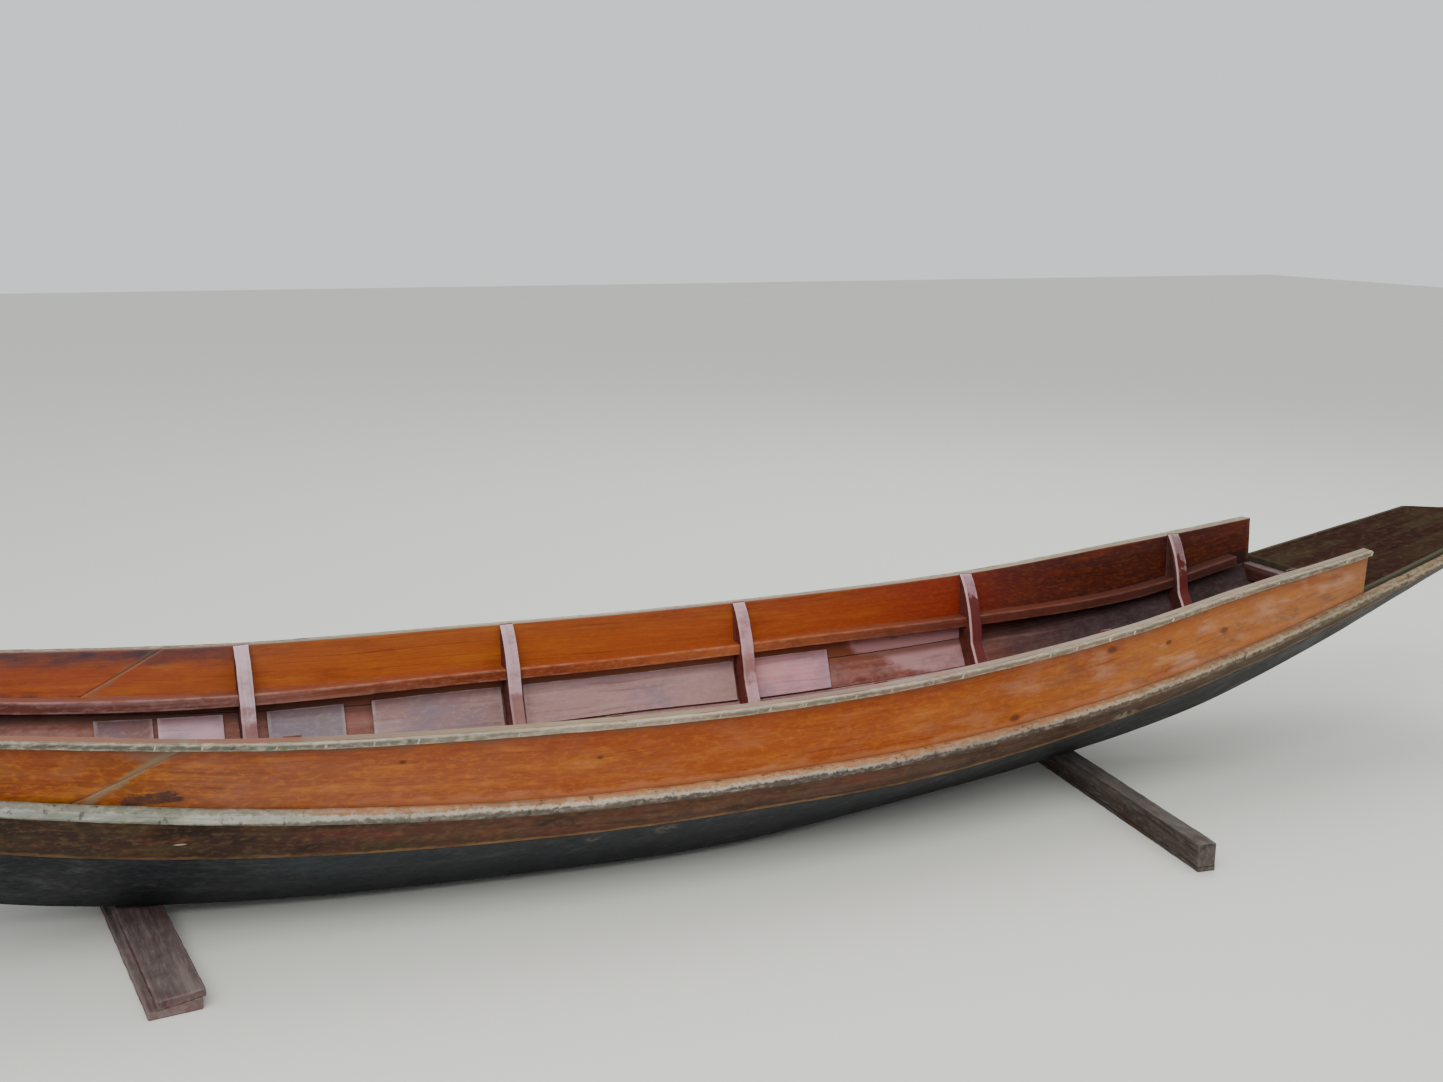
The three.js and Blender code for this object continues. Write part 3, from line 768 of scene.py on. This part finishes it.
materials = {
    "varnishOuter": makeVarnish(varnishLook, "outer"),
    "varnishInner": makeVarnish(varnishLook, "inner"),
    "stripTop": makeStrip(stripLook, "top"),
    "stripSide": makeStrip(stripLook, "side"),
    "nick": makeNickWood(stripLook),
    "rail": makeRail(railLook),
    "sidePlank": makeSidePlank(sidePlankLook),
    "tar": makeTar(tarLook),
    "lining": makeLining(liningLook),
    "deck": makeDeckWood(deckLook),
}
for name, own in bearerLooks.items():
    materials["bearer" + name.title()] = makeBearerWood(name, {**bearerShared, **own})
for name, own in insideLooks.items():
    materials[name] = makeInside(name, {**insideShared, **own})
print("materials made")


# sizes read from the frame

cornerApart = 4e-4      # points of a section closer than this are one corner
stationApart = 3e-4


def distinct(points):
    kept = []
    for point in points:
        if all(np.abs(point - other).max() > cornerApart for other in kept):
            kept.append(point)
    return np.array(kept)


# the corners of a node's sections at constant x, turning left from the lowest one furthest out
def readSections(node, corners=4, low=-9.0, high=9.0):
    mesh = frame["nodes"][node].data
    points = np.empty(3 * len(mesh.vertices))
    mesh.vertices.foreach_get("co", points)
    points = np.unique(np.round(points.reshape(-1, 3), 5), axis=0)
    points = points[np.argsort(points[:, 0])]
    stations, sections = [], []
    for group in np.split(points, np.flatnonzero(np.diff(points[:, 0]) > stationApart) + 1):
        ring = distinct(group[:, 1:])
        if len(ring) != corners or not low < group[0, 0] < high:
            continue
        spread = ring - ring.mean(axis=0)
        ring = ring[np.argsort(np.arctan2(spread[:, 1], spread[:, 0]))]
        lowest = np.flatnonzero(ring[:, 1] < ring[:, 1].min() + cornerApart)
        start = lowest[np.argmax(ring[lowest, 0])]
        stations.append(group[0, 0])
        sections.append(np.roll(ring, -start, axis=0))
    return np.array(stations), np.array(sections)


# smooth lines through the sections, as corners (x, y, z) at the places asked for
def cornersAt(stations, sections, xs):
    slopes = np.gradient(sections, stations, axis=0)
    i = np.clip(np.searchsorted(stations, xs) - 1, 0, len(stations) - 2)
    span = (stations[i + 1] - stations[i])[:, None, None]
    t = ((xs - stations[i])[:, None, None]) / span
    found = (
        (1 + 2 * t) * (1 - t) ** 2 * sections[i] + t * (1 - t) ** 2 * span * slopes[i]
        + t * t * (3 - 2 * t) * sections[i + 1] + t * t * (t - 1) * span * slopes[i + 1]
    )
    along = np.broadcast_to(xs[:, None, None], found.shape[:2] + (1,))
    return np.concatenate([along, found], axis=2)


def spaced(start, end, step):
    return np.linspace(start, end, max(2, round(abs(end - start) / step) + 1))


def cornersOf(node, step, corners=4, inset=0.0):
    stations, sections = readSections(node, corners)
    return cornersAt(stations, sections, spaced(stations[0] + inset, stations[-1] - inset, step))


def handed(corners, sign):
    return corners * np.array([1, sign, 1])


# building surfaces from rings

def lengthOf(arrows):
    return np.linalg.norm(arrows, axis=-1, keepdims=True)


# rings of points round the corners at every station, with rounded arrises
def roundRing(corners, radius, step, support, arcSteps=3):
    count = corners.shape[1]
    following = np.roll(corners, -1, axis=1)
    sideLong = lengthOf(following - corners)
    onward = (following - corners) / sideLong
    shortest = np.minimum(sideLong, np.roll(sideLong, 1, axis=1))
    cut = np.minimum(radius, 0.3 * shortest)
    nextCut = np.roll(cut, -1, axis=1)
    hold = np.minimum(support, 0.2 * (sideLong - cut - nextCut))
    points, edge, side = [], [], []
    for k in range(count):
        start = corners[:, k] - onward[:, k - 1] * cut[:, k]
        end = corners[:, k] + onward[:, k] * cut[:, k]
        for s in range(arcSteps + 1):
            t = s / arcSteps
            points.append((1 - t) ** 2 * start + 2 * t * (1 - t) * corners[:, k] + t * t * end)
            edge.append(1 - 0.4 * abs(2 * t - 1))
            side.append(k if t >= 0.5 else (k - 1) % count)
        steps = max(1, round(float(sideLong[:, k].mean()) / step))
        first = cut[:, k] + hold[:, k]
        last = sideLong[:, k] - nextCut[:, k] - hold[:, k]
        for s in range(steps + 1):
            points.append(corners[:, k] + onward[:, k] * (first + (last - first) * s / steps))
            edge.append(0.0)
            side.append(k)
    return np.stack(points, axis=1), np.array(edge), np.array(side)


# a sum of slow waves, between about -1 and 1, longer along the first axis
def ripple(points, size, seed, stretch):
    random = np.random.default_rng(seed)
    total = np.zeros(points.shape[:-1])
    for _ in range(9):
        way = random.normal(size=3) / np.array([stretch, 1.0, 1.0])
        pace = 2 * math.pi / (size * random.uniform(0.6, 1.8))
        total += np.sin(points @ way * pace + random.uniform(0, 2 * math.pi))
    return total / 4.5


def outwardOf(rings):
    axis = np.gradient(rings.mean(axis=1), axis=0)[:, None, :]
    tangent = np.roll(rings, -1, axis=1) - np.roll(rings, 1, axis=1)
    away = np.cross(tangent, axis)
    away /= np.maximum(lengthOf(away), 1e-12)
    middle = len(rings) // 2
    spread = rings[middle] - rings[middle].mean(axis=0)
    area = np.cross(spread, np.roll(spread, -1, axis=0)).sum(axis=0)
    sign = 1 if area @ axis[middle, 0] > 0 else -1
    return away * sign, sign


# one closed skin round a row of sections, with the values that the materials use
def shell(corners, radius=0.003, step=0.012, rough=0.0004, wave=0.05, seed=0, endRound=0.0015,
          support=0.005, stretch=4.0, shape=None):
    rings, edge, side = roundRing(corners, radius, step, support)
    if shape is not None:
        rings = shape(rings)
    away, sign = outwardOf(rings)
    rings = rings + away * (ripple(rings, wave, seed, stretch) * rough - 0.3 * rough)[..., None]
    heads = []
    for end, inner in ((0, 1), (-1, -2)):
        out = rings[end].mean(axis=0) - rings[inner].mean(axis=0)
        out /= np.linalg.norm(out)
        # from the small end face out to the side, in three rings
        heads.append([rings[end] - out * back * endRound - away[end] * inset * endRound
                      for back, inset in ((0, 1), (0.35, 0.35), (1, 0))])
    rings = np.concatenate([heads[0], rings[1:-1], heads[1][::-1]])
    steps = np.linalg.norm(np.diff(rings.mean(axis=1), axis=0), axis=1)
    around = np.linalg.norm(np.roll(rings, -1, axis=1) - rings, axis=2).mean(axis=0)
    nearest = np.clip(np.arange(len(rings)) - 2, 1, len(corners) - 1)
    low, up = corners[nearest, 0][:, None], (corners[nearest, 1] - corners[nearest, 0])[:, None]
    tall = lengthOf(up)
    height = ((rings - low) * up / tall).sum(axis=2)
    worn = np.broadcast_to(edge, rings.shape[:2]).copy()
    worn[[0, 1, 2, -3, -2, -1]] = np.maximum(worn[[0, 1, 2, -3, -2, -1]], 0.8)
    return {
        "rings": rings, "side": side, "sign": sign,
        "u": np.concatenate([[0], np.cumsum(steps)]) + 0.37 * seed,
        "v": np.concatenate([[0], np.cumsum(around)]) + 0.11 * seed,
        "values": {"edge": worn, "low": height, "top": tall[..., 0] - height},
    }


def writeFloats(mesh, name, values):
    flat = np.asarray(values, np.float32).reshape(-1)
    mesh.attributes.new(name, "FLOAT", "POINT").data.foreach_set("value", flat)


# the modifiers' result as a plain mesh
def settle(piece):
    ready = piece.evaluated_get(bpy.context.evaluated_depsgraph_get())
    settled = bpy.data.meshes.new_from_object(ready)
    settled.name = piece.name
    piece.modifiers.clear()
    piece.data = settled


def placePiece(mesh, slots, node):
    for slot in slots:
        mesh.materials.append(materials[slot])
    piece = addObject(mesh.name, mesh)
    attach(piece, body)
    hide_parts(node)
    return piece


# puts one or more skins together as a piece; one side of them may wear the second material
def makePiece(node, shells, slots, secondSide=None, extra=None):
    points, faces, uvs, indices, values = [], [], [], [], {}
    for skin in shells:
        rings, u, v = skin["rings"], skin["u"].tolist(), skin["v"].tolist()
        rows, count = rings.shape[:2]
        base = len(points)
        points += rings.reshape(-1, 3).tolist()
        around = ((0, 0), (0, 1), (1, 1), (1, 0))[::skin["sign"]]
        for i in range(rows - 1):
            for j in range(count):
                faces.append([base + (i + a) * count + (j + b) % count for a, b in around])
                uvs += [(u[i + a], v[j + b]) for a, b in around]
        indices += [int(side == secondSide) for side in skin["side"]] * (rows - 1) + [0, 0]
        for row, way in ((0, -1), (rows - 1, 1)):
            ring = np.arange(count)[::way * skin["sign"]]
            faces.append((base + row * count + ring).tolist())
            x, y, z = rings[row][ring].T
            uvs += (np.stack([z * 0.4 + x * 0.2, y + z * 0.3], axis=-1) + u[0]).tolist()
        for key, value in skin["values"].items():
            values.setdefault(key, []).append(value.reshape(-1))
    mesh = bpy.data.meshes.new(node + "_wood")
    mesh.from_pydata(points, [], faces)
    mesh.uv_layers.new(name="plank").data.foreach_set("uv", np.array(uvs, np.float32).reshape(-1))
    mesh.polygons.foreach_set("material_index", indices)
    mesh.polygons.foreach_set("use_smooth", [len(face) == 4 for face in faces])
    for key, parts in values.items():
        writeFloats(mesh, key, np.concatenate(parts))
    for key, rule in (extra or {}).items():
        writeFloats(mesh, key, np.broadcast_to(rule(np.array(points)), len(points)))
    mesh.update()
    return placePiece(mesh, slots, node)


sides = (("port", 1), ("starboard", -1))
# sides are numbered on from the outer face: upper edge, inner face, lower edge
upperSide, innerSide = 1, 2


# a piece on the port side and its mirror image to starboard
def makePair(piece, corners, slots, seed, finish, secondSide=None, extra=None, seedStep=1):
    for name, sign in sides:
        skin = shell(handed(corners, sign), seed=seed + seedStep * (sign < 0), **finish)
        makePiece(f"{piece}_{name}", [skin], slots, secondSide, extra)


# each "finish" holds the radius of the arrises, the depth and length of the faces' waves, and steps of the mesh
hullSetup = {
    "stationStep": 0.014,
    "finish": {"radius": 0.0012, "rough": 0.0005, "wave": 0.09},
    "bottomStep": 0.016,
    "planks": {"bilge_plank": (["tar", "bilge"], 1), "side_plank": (["sidePlank", "planking"], 2)},
}


def makeHullPlanks(values):
    for plank, (slots, seed) in values["planks"].items():
        corners = cornersOf(plank + "_port", values["stationStep"])
        makePair(plank, corners, slots, seed, values["finish"], innerSide, seedStep=10)
    # the bottom's underside runs from its last corner back to the first
    corners = np.roll(cornersOf("bottom_plank", values["stationStep"]), 1, axis=1)
    bottom = shell(corners, step=values["bottomStep"], seed=3, **values["finish"])
    makePiece("bottom_plank", [bottom], ["tar", "bilge"], innerSide)


makeHullPlanks(hullSetup)
print("hull planks made")


washSetup = {
    "end": 1.81,
    "scarfRun": 0.150,
    "scarfRise": 0.087,
    "scarfAt": {"port": (-1.199, 0.416), "starboard": (-1.233, 0.399)},
    "easing": 0.45,     # how far along the plank the slant of the cut dies out
    "gap": 0.0004,
    "finish": {"radius": 0.0012, "rough": 0.0005, "wave": 0.08, "endRound": 0.0006},
    "sound": {"aft": {"high": -1.39}, "fore": {"low": -1.03}},    # where the solids are clear of the slant
}


def makeWashstrakes(values):
    read = [readSections(f"washstrake_{length}_port", **limits) for length, limits in values["sound"].items()]
    stations, sections = (np.concatenate(both) for both in zip(*read))
    run, rise = values["scarfRun"], values["scarfRise"]
    for name, sign in sides:
        atX, atZ = values["scarfAt"][name]

        def fromScarf(points):
            return ((points[:, 0] - atX) * rise - (points[:, 2] - atZ) * run) / math.hypot(run, rise)

        for length, way in (("fore", 1), ("aft", -1)):
            end = values["end"] * way
            xs = spaced(atX, end, hullSetup["stationStep"])
            corners = handed(cornersAt(stations, sections, xs), sign)

            def slant(rings):
                share = np.clip(np.abs(xs - atX) / min(values["easing"], abs(end - atX) * 0.9), 0, 1)[:, None]
                fall = 1 - share * share * (3 - 2 * share)
                move = ((rings[..., 2] - atZ) * run / rise + way * values["gap"] / 2) * fall
                rate = np.gradient(rings, xs, axis=0)
                # each point slides along the plank's own lines
                return rings + rate * (move / rate[..., 0])[..., None]

            seed = 5 + 2 * (length == "aft") + 20 * (sign < 0)
            skin = shell(corners, seed=seed, shape=slant, **values["finish"])
            makePiece(f"washstrake_{length}_{name}", [skin], ["varnishOuter", "varnishInner"], innerSide,
                      {"scarf": fromScarf})


makeWashstrakes(washSetup)
print("washstrakes made")


stripSetup = {
    "stationStep": 0.012,
    "finish": {"step": 0.008, "wave": 0.03, "support": 0.003},
    "pieces": {    # corners of a section, materials, seed, radius and roughness
        "gunwale_strip": (4, ["stripSide", "stripTop"], 31, 0.0025, 0.0006),
        "rub_rail": (7, ["rail"], 33, 0.0030, 0.0007),
        "stringer": (4, ["stringer", "stringerTop"], 35, 0.0030, 0.0006),
    },
}


def makeStrips(values):
    for strip, (count, slots, seed, radius, rough) in values["pieces"].items():
        corners = cornersOf(strip + "_port", values["stationStep"], count)
        middle = (corners[:, :, 2].min(axis=1) + corners[:, :, 2].max(axis=1)) / 2

        def rise(points):
            return points[:, 2] - np.interp(points[:, 0], corners[:, 0, 0], middle)

        finish = {**values["finish"], "radius": radius, "rough": rough}
        makePair(strip, corners, slots, seed, finish, upperSide if len(slots) > 1 else None, {"rise": rise})


makeStrips(stripSetup)

# light nicks across the gunwale strips
nickSetup = {
    "Spacing": 0.1,
    "Jitter": 0.034,
    "Length": 0.0120,
    "Width": 0.0032,
    "Thickness": 0.0014,
    "Slant": 0.45,
    "Missing": 0.18,
    "Seed": 4,
}
nickLine = {"step": 0.02, "inset": 0.02, "sunk": 0.15}     # sunk as a share of the thickness


def nickTree(values):
    tree = bpy.data.node_groups.new("stripNicks", "GeometryNodeTree")
    sockets = {"Geometry": "Geometry", "Material": "Material"}
    sockets.update((name, "Int" if isinstance(value, int) else "Float") for name, value in values.items())
    for name, kind in sockets.items():
        tree.interface.new_socket(name, in_out="INPUT", socket_type="NodeSocket" + kind)
    tree.interface.new_socket("Geometry", in_out="OUTPUT", socket_type="NodeSocketGeometry")
    given = tree.nodes.new("NodeGroupInput").outputs

    def step(kind, settings=None, **inputs):
        return output(tree, kind, settings, **inputs)

    def chance(low, high, shift):
        made = addNode(tree, "FunctionNodeRandomValue", {"data_type": "FLOAT"}, Seed=plus(given["Seed"], shift))
        for socket, value in zip([k for k in made.inputs if k.enabled], (low, high)):
            feed(socket, value)
        return next(k for k in made.outputs if k.enabled)

    line = step("GeometryNodeMeshToCurve", Mesh=given["Geometry"])
    evenly = step("GeometryNodeResampleCurve", {"mode": "LENGTH"}, Curve=line, Length=given["Spacing"])
    tangent = step("GeometryNodeInputTangent")
    shove = step("ShaderNodeVectorMath", {"operation": "SCALE"}, Vector=tangent,
                 Scale=times(given["Jitter"], chance(-1.0, 1.0, 1)))
    moved = step("GeometryNodeSetPosition", Geometry=evenly, Offset=shove)
    up = step("GeometryNodeInputNamedAttribute", {"data_type": "FLOAT_VECTOR"}, Name="up")
    upright = step("FunctionNodeAlignRotationToVector", {"axis": "Z"}, Vector=up)
    along = step("FunctionNodeAlignRotationToVector", {"axis": "X", "pivot_axis": "Z"}, Rotation=upright,
                 Vector=tangent)
    slant = times(given["Slant"], chance(0.3, 1.4, 2))
    turned = step("FunctionNodeRotateRotation", {"rotation_space": "LOCAL"}, Rotation=along,
                  Rotate_By=joined(0.0, slant, 0.0))
    sliver = step("GeometryNodeMeshCube", Size=joined(given["Width"], given["Thickness"], given["Length"]))
    # some are missing, and no two have the same size
    there = calc("GREATER_THAN", chance(0.0, 1.0, 5), given["Missing"])
    placed = step("GeometryNodeInstanceOnPoints", Points=moved, Instance=sliver, Rotation=turned, Selection=there,
                  Scale=joined(chance(0.45, 1.35, 3), 1.0, chance(0.55, 1.0, 4)))
    plain = step("GeometryNodeRealizeInstances", Geometry=placed)
    coloured = step("GeometryNodeSetMaterial", Geometry=plain, Material=given["Material"])
    feed(tree.nodes.new("NodeGroupOutput").inputs[0], coloured)
    return tree


def makeNicks(values):
    tree = nickTree(values)
    corners = cornersOf("gunwale_strip_port", nickLine["step"], inset=nickLine["inset"])
    for name, sign in sides:
        line = handed(corners, sign)
        up, inward = ((line[:, k] - line[:, 0]) / lengthOf(line[:, k] - line[:, 0]) for k in (1, 3))
        points = (line[:, 0] + line[:, 1]) / 2 + inward * values["Thickness"] * nickLine["sunk"]
        mesh = bpy.data.meshes.new(f"nicks_{name}_line")
        mesh.from_pydata(points.tolist(), [(k, k + 1) for k in range(len(points) - 1)], [])
        layer = mesh.attributes.new("up", "FLOAT_VECTOR", "POINT")
        layer.data.foreach_set("vector", up.astype(np.float32).reshape(-1))
        piece = addObject(f"nicks_{name}", mesh)
        modifier = piece.modifiers.new("nicks", "NODES")
        modifier.node_group = tree
        for item in tree.interface.items_tree:
            if item.in_out == "INPUT" and item.name in values:
                modifier[item.identifier] = values[item.name]
            elif item.name == "Material":
                modifier[item.identifier] = materials["nick"]
        settle(piece)
        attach(piece, body)


makeNicks(nickSetup)
print("strips and rails made")


boardSetup = {
    "liningStep": 0.010,
    "lining": {"radius": 0.0016, "rough": 0.0005, "step": 0.010, "wave": 0.04, "endRound": 0.001,
               "support": 0.002},
    "floorStep": 0.014,
    "floor": {"radius": 0.0025, "rough": 0.0006, "support": 0.003},
}


def makeBoards(values):
    for n in range(1, 7):
        corners = cornersOf(f"lining_board_{n}_port", values["liningStep"])
        makePair(f"lining_board_{n}", corners, ["lining"], 40 + 2 * n, values["lining"],
                 extra={"tone": lambda points: (n - 1) / 10})
    for n in range(1, 6):
        corners = cornersOf(f"floorboard_{n}", values["floorStep"])
        makePiece(f"floorboard_{n}", [shell(corners, seed=60 + n, **values["floor"])], ["floor"])


makeBoards(boardSetup)
print("boards made")


# timbers cut from the frame's own shapes, with their arrises eased
timberSetup = {
    "ease": 0.003,
    "segments": 3,
    "sharp": 0.35,      # edges that bend more than this many radians are eased
    "flat": 0.01,       # and those that bend less than this are dissolved
    "weld": 2e-5,
}


def makeTimber(node, slot, values, grainAxis):
    mesh = frame["nodes"][node].data.copy()
    mesh.name = node + "_wood"
    shape = bmesh.new()
    shape.from_mesh(mesh)
    bmesh.ops.remove_doubles(shape, verts=shape.verts, dist=values["weld"])
    bmesh.ops.dissolve_limit(shape, angle_limit=values["flat"], verts=shape.verts, edges=shape.edges)
    arrises = [e for e in shape.edges if len(e.link_faces) == 2 and e.calc_face_angle() > values["sharp"]]
    bmesh.ops.bevel(shape, geom=arrises, offset=values["ease"], segments=values["segments"], profile=0.5,
                    affect="EDGES")
    layer = shape.loops.layers.uv.new("plank")
    others = [k for k in range(3) if k != grainAxis]
    for face in shape.faces:
        face.smooth = True
        across = min(others, key=lambda k: abs(face.normal[k]))
        for loop in face.loops:
            loop[layer].uv = (loop.vert.co[grainAxis], loop.vert.co[across] + 0.3 * face.normal[across])
    shape.to_mesh(mesh)
    shape.free()
    mesh.materials.clear()
    mesh.attributes.new("edge", "FLOAT", "POINT")
    piece = placePiece(mesh, [slot], node)
    piece.modifiers.new("evenNormals", "WEIGHTED_NORMAL").keep_sharp = True
    settle(piece)
    return piece


def makeTimbers(values):
    # floor timbers and deck beams take the painted-shade side tones of the arms all over
    for n in range(1, 7):
        makeTimber(f"floor_timber_{n}", "armShadedSide", values, 1)
    for end in ("bow", "stern"):
        makeTimber(f"{end}_deck_beam", "armShadedSide", values, 1)
        block = makeTimber(f"{end}_block", "deck", values, 0)
        # the blocks keep clear of the deck's rim tone
        writeFloats(block.data, "rim", np.ones(len(block.data.vertices)))


makeTimbers(timberSetup)

# the frame arms follow the planking up, and thin out to their tops
armSetup = {
    "topDepth": 0.006,
    "growth": 0.060,
    "fall": 0.075,
    "clear": 0.0012,
    "finish": {"radius": 0.003, "rough": 0.0008, "step": 0.008, "wave": 0.03, "support": 0.002, "endRound": 0.002,
               "stretch": 1.0},
}


def insideAt(heights, x):
    line = []
    for plank, limits in (("bilge_plank", {}), ("side_plank", {}), ("washstrake_fore", washSetup["sound"]["fore"]),
                          ("washstrake_aft", washSetup["sound"]["aft"])):
        stations, sections = readSections(plank + "_port", **limits)
        if stations[0] - 1e-6 <= x <= stations[-1] + 1e-6:
            corners = cornersAt(stations, sections, np.array([x]))[0]
            line += [(corners[k][2], corners[k][1]) for k in (3, 2)]
    line.sort()
    return np.interp(heights, *zip(*line))


def makeArms(values):
    for n in range(1, 7):
        low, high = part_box(f"frame_arm_{n}_port")
        heights = spaced(low[2], high[2], values["finish"]["step"])
        depth = values["topDepth"] + values["growth"] * (1 - np.exp(-(heights[-1] - heights) / values["fall"]))
        columns = []
        for x, inset in ((low[0], 0), (high[0], 0), (high[0], 1), (low[0], 1)):
            across = insideAt(heights, x) - values["clear"] - depth * inset
            columns.append(np.stack([np.full_like(heights, x), across, heights], axis=1))
        extra = {"drop": lambda points: high[2] - points[:, 2], "fromAft": lambda points: points[:, 0] - low[0]}
        # the inboard face is pale, the other faces take the painted-shade side tones
        makePair(f"frame_arm_{n}", np.stack(columns, axis=1), ["armShadedSide", "arm"], 90 + 2 * n, values["finish"],
                 innerSide, extra)


makeArms(armSetup)
print("timbers made")


deckSetup = {
    "seam": 0.0008,
    "finish": {"radius": 0.002, "rough": 0.0004, "step": 0.010, "support": 0.002},
}


def makeDecks(values):
    for end in ("bow", "stern"):
        corners = cornersOf(f"{end}_deck", values["finish"]["step"])
        # one half, up to the seam in the middle; the other half mirrors it
        half = corners.copy()
        half[:, 2:, 1] = values["seam"] / 2
        boards = [shell(handed(half, sign), seed=70 + (sign < 0), **values["finish"]) for name, sign in sides]

        def rim(points):
            return np.interp(points[:, 0], corners[:, 0, 0], corners[:, 0, 1]) - np.abs(points[:, 1])

        makePiece(f"{end}_deck", boards, ["deck"], extra={"rim": rim})


makeDecks(deckSetup)
print("decks made")


# profiles across each layer of a bearer, as (across, height): None is at the top, less than 0 below the top
bearerSetup = {
    "aft": {
        "x": -1.232, "turn": 5.0, "half": 0.477, "seed": 80, "finish": {"radius": 0.004, "rough": 0.0007},
        "layers": [
            [(-0.052, 0.0), (0.045, 0.0), (0.045, 0.0238), (-0.036, 0.0158), (-0.039, 0.0140), (-0.052, 0.0140)],
            [(-0.036, 0.0162), (0.051, 0.0242), (0.051, None), (-0.036, -0.008)],
        ],
    },
    "fore": {
        "x": 1.014, "turn": -6.7, "half": 0.700, "seed": 85, "finish": {"radius": 0.003, "rough": 0.0006},
        "layers": [[(-0.0215, 0.0), (0.0215, 0.0), (0.0215, None), (-0.0215, None)]],
    },
}


def makeBearers(setup):
    for name, values in setup.items():
        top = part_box("bearer_" + name)[1][2]
        turn = math.radians(values["turn"])
        along = spaced(-values["half"], values["half"], 0.008)[:, None]
        shells = []
        for k, profile in enumerate(values["layers"]):
            across = np.array([p[0] for p in profile])[None, :]
            up = [top if z is None else top + z if z < 0 else z for _, z in profile]
            x = values["x"] + across * math.cos(turn) - along * math.sin(turn)
            y = across * math.sin(turn) + along * math.cos(turn)
            corners = np.stack([x, y, np.broadcast_to(up, x.shape)], axis=2)
            skin = shell(corners, seed=values["seed"] + k, step=0.007, support=0.003, stretch=1.0,
                         **values["finish"])
            skin["rings"][..., 2] = np.maximum(skin["rings"][..., 2], 0)
            shells.append(skin)
        makePiece(f"bearer_{name}", shells, ["bearer" + name.title()])


makeBearers(bearerSetup)
print("bearers made")


# floor and light
studioSetup = {
    "floor": "#dadad2",
    "floorSize": 40.0,
    "world": (0.86, 0.88, 0.9, 1.0),
    "worldStrength": 1.05,
    "lamps": [((-2.5, -3.5, 4.5), 5.0, 260.0), ((3.0, 2.5, 5.0), 5.0, 170.0)],     # place, size, power
}


def makeStudio(values):
    half = values["floorSize"] / 2
    mesh = bpy.data.meshes.new("floor")
    mesh.from_pydata([(-half, -half, 0), (half, -half, 0), (half, half, 0), (-half, half, 0)], [], [(0, 1, 2, 3)])
    mesh.materials.append(Finish("floorPaint", values, "floor", Roughness=0.85).done())
    addObject("floor", mesh)
    world = bpy.data.worlds.new("studio")
    world.use_nodes = True
    sky = world.node_tree.nodes["Background"].inputs
    sky["Color"].default_value = values["world"]
    sky["Strength"].default_value = values["worldStrength"]
    bpy.context.scene.world = world
    for n, (place, size, power) in enumerate(values["lamps"]):
        lamp = bpy.data.lights.new(f"softLamp{n}", "AREA")
        lamp.shape = "DISK"
        lamp.size = size
        lamp.energy = power
        aim = Matrix.Translation(place)
        towards = (aim.translation * -1).normalized()
        addObject(lamp.name, lamp).matrix_world = aim @ towards.to_track_quat("-Z", "Y").to_matrix().to_4x4()


makeStudio(studioSetup)
print("studio lit")
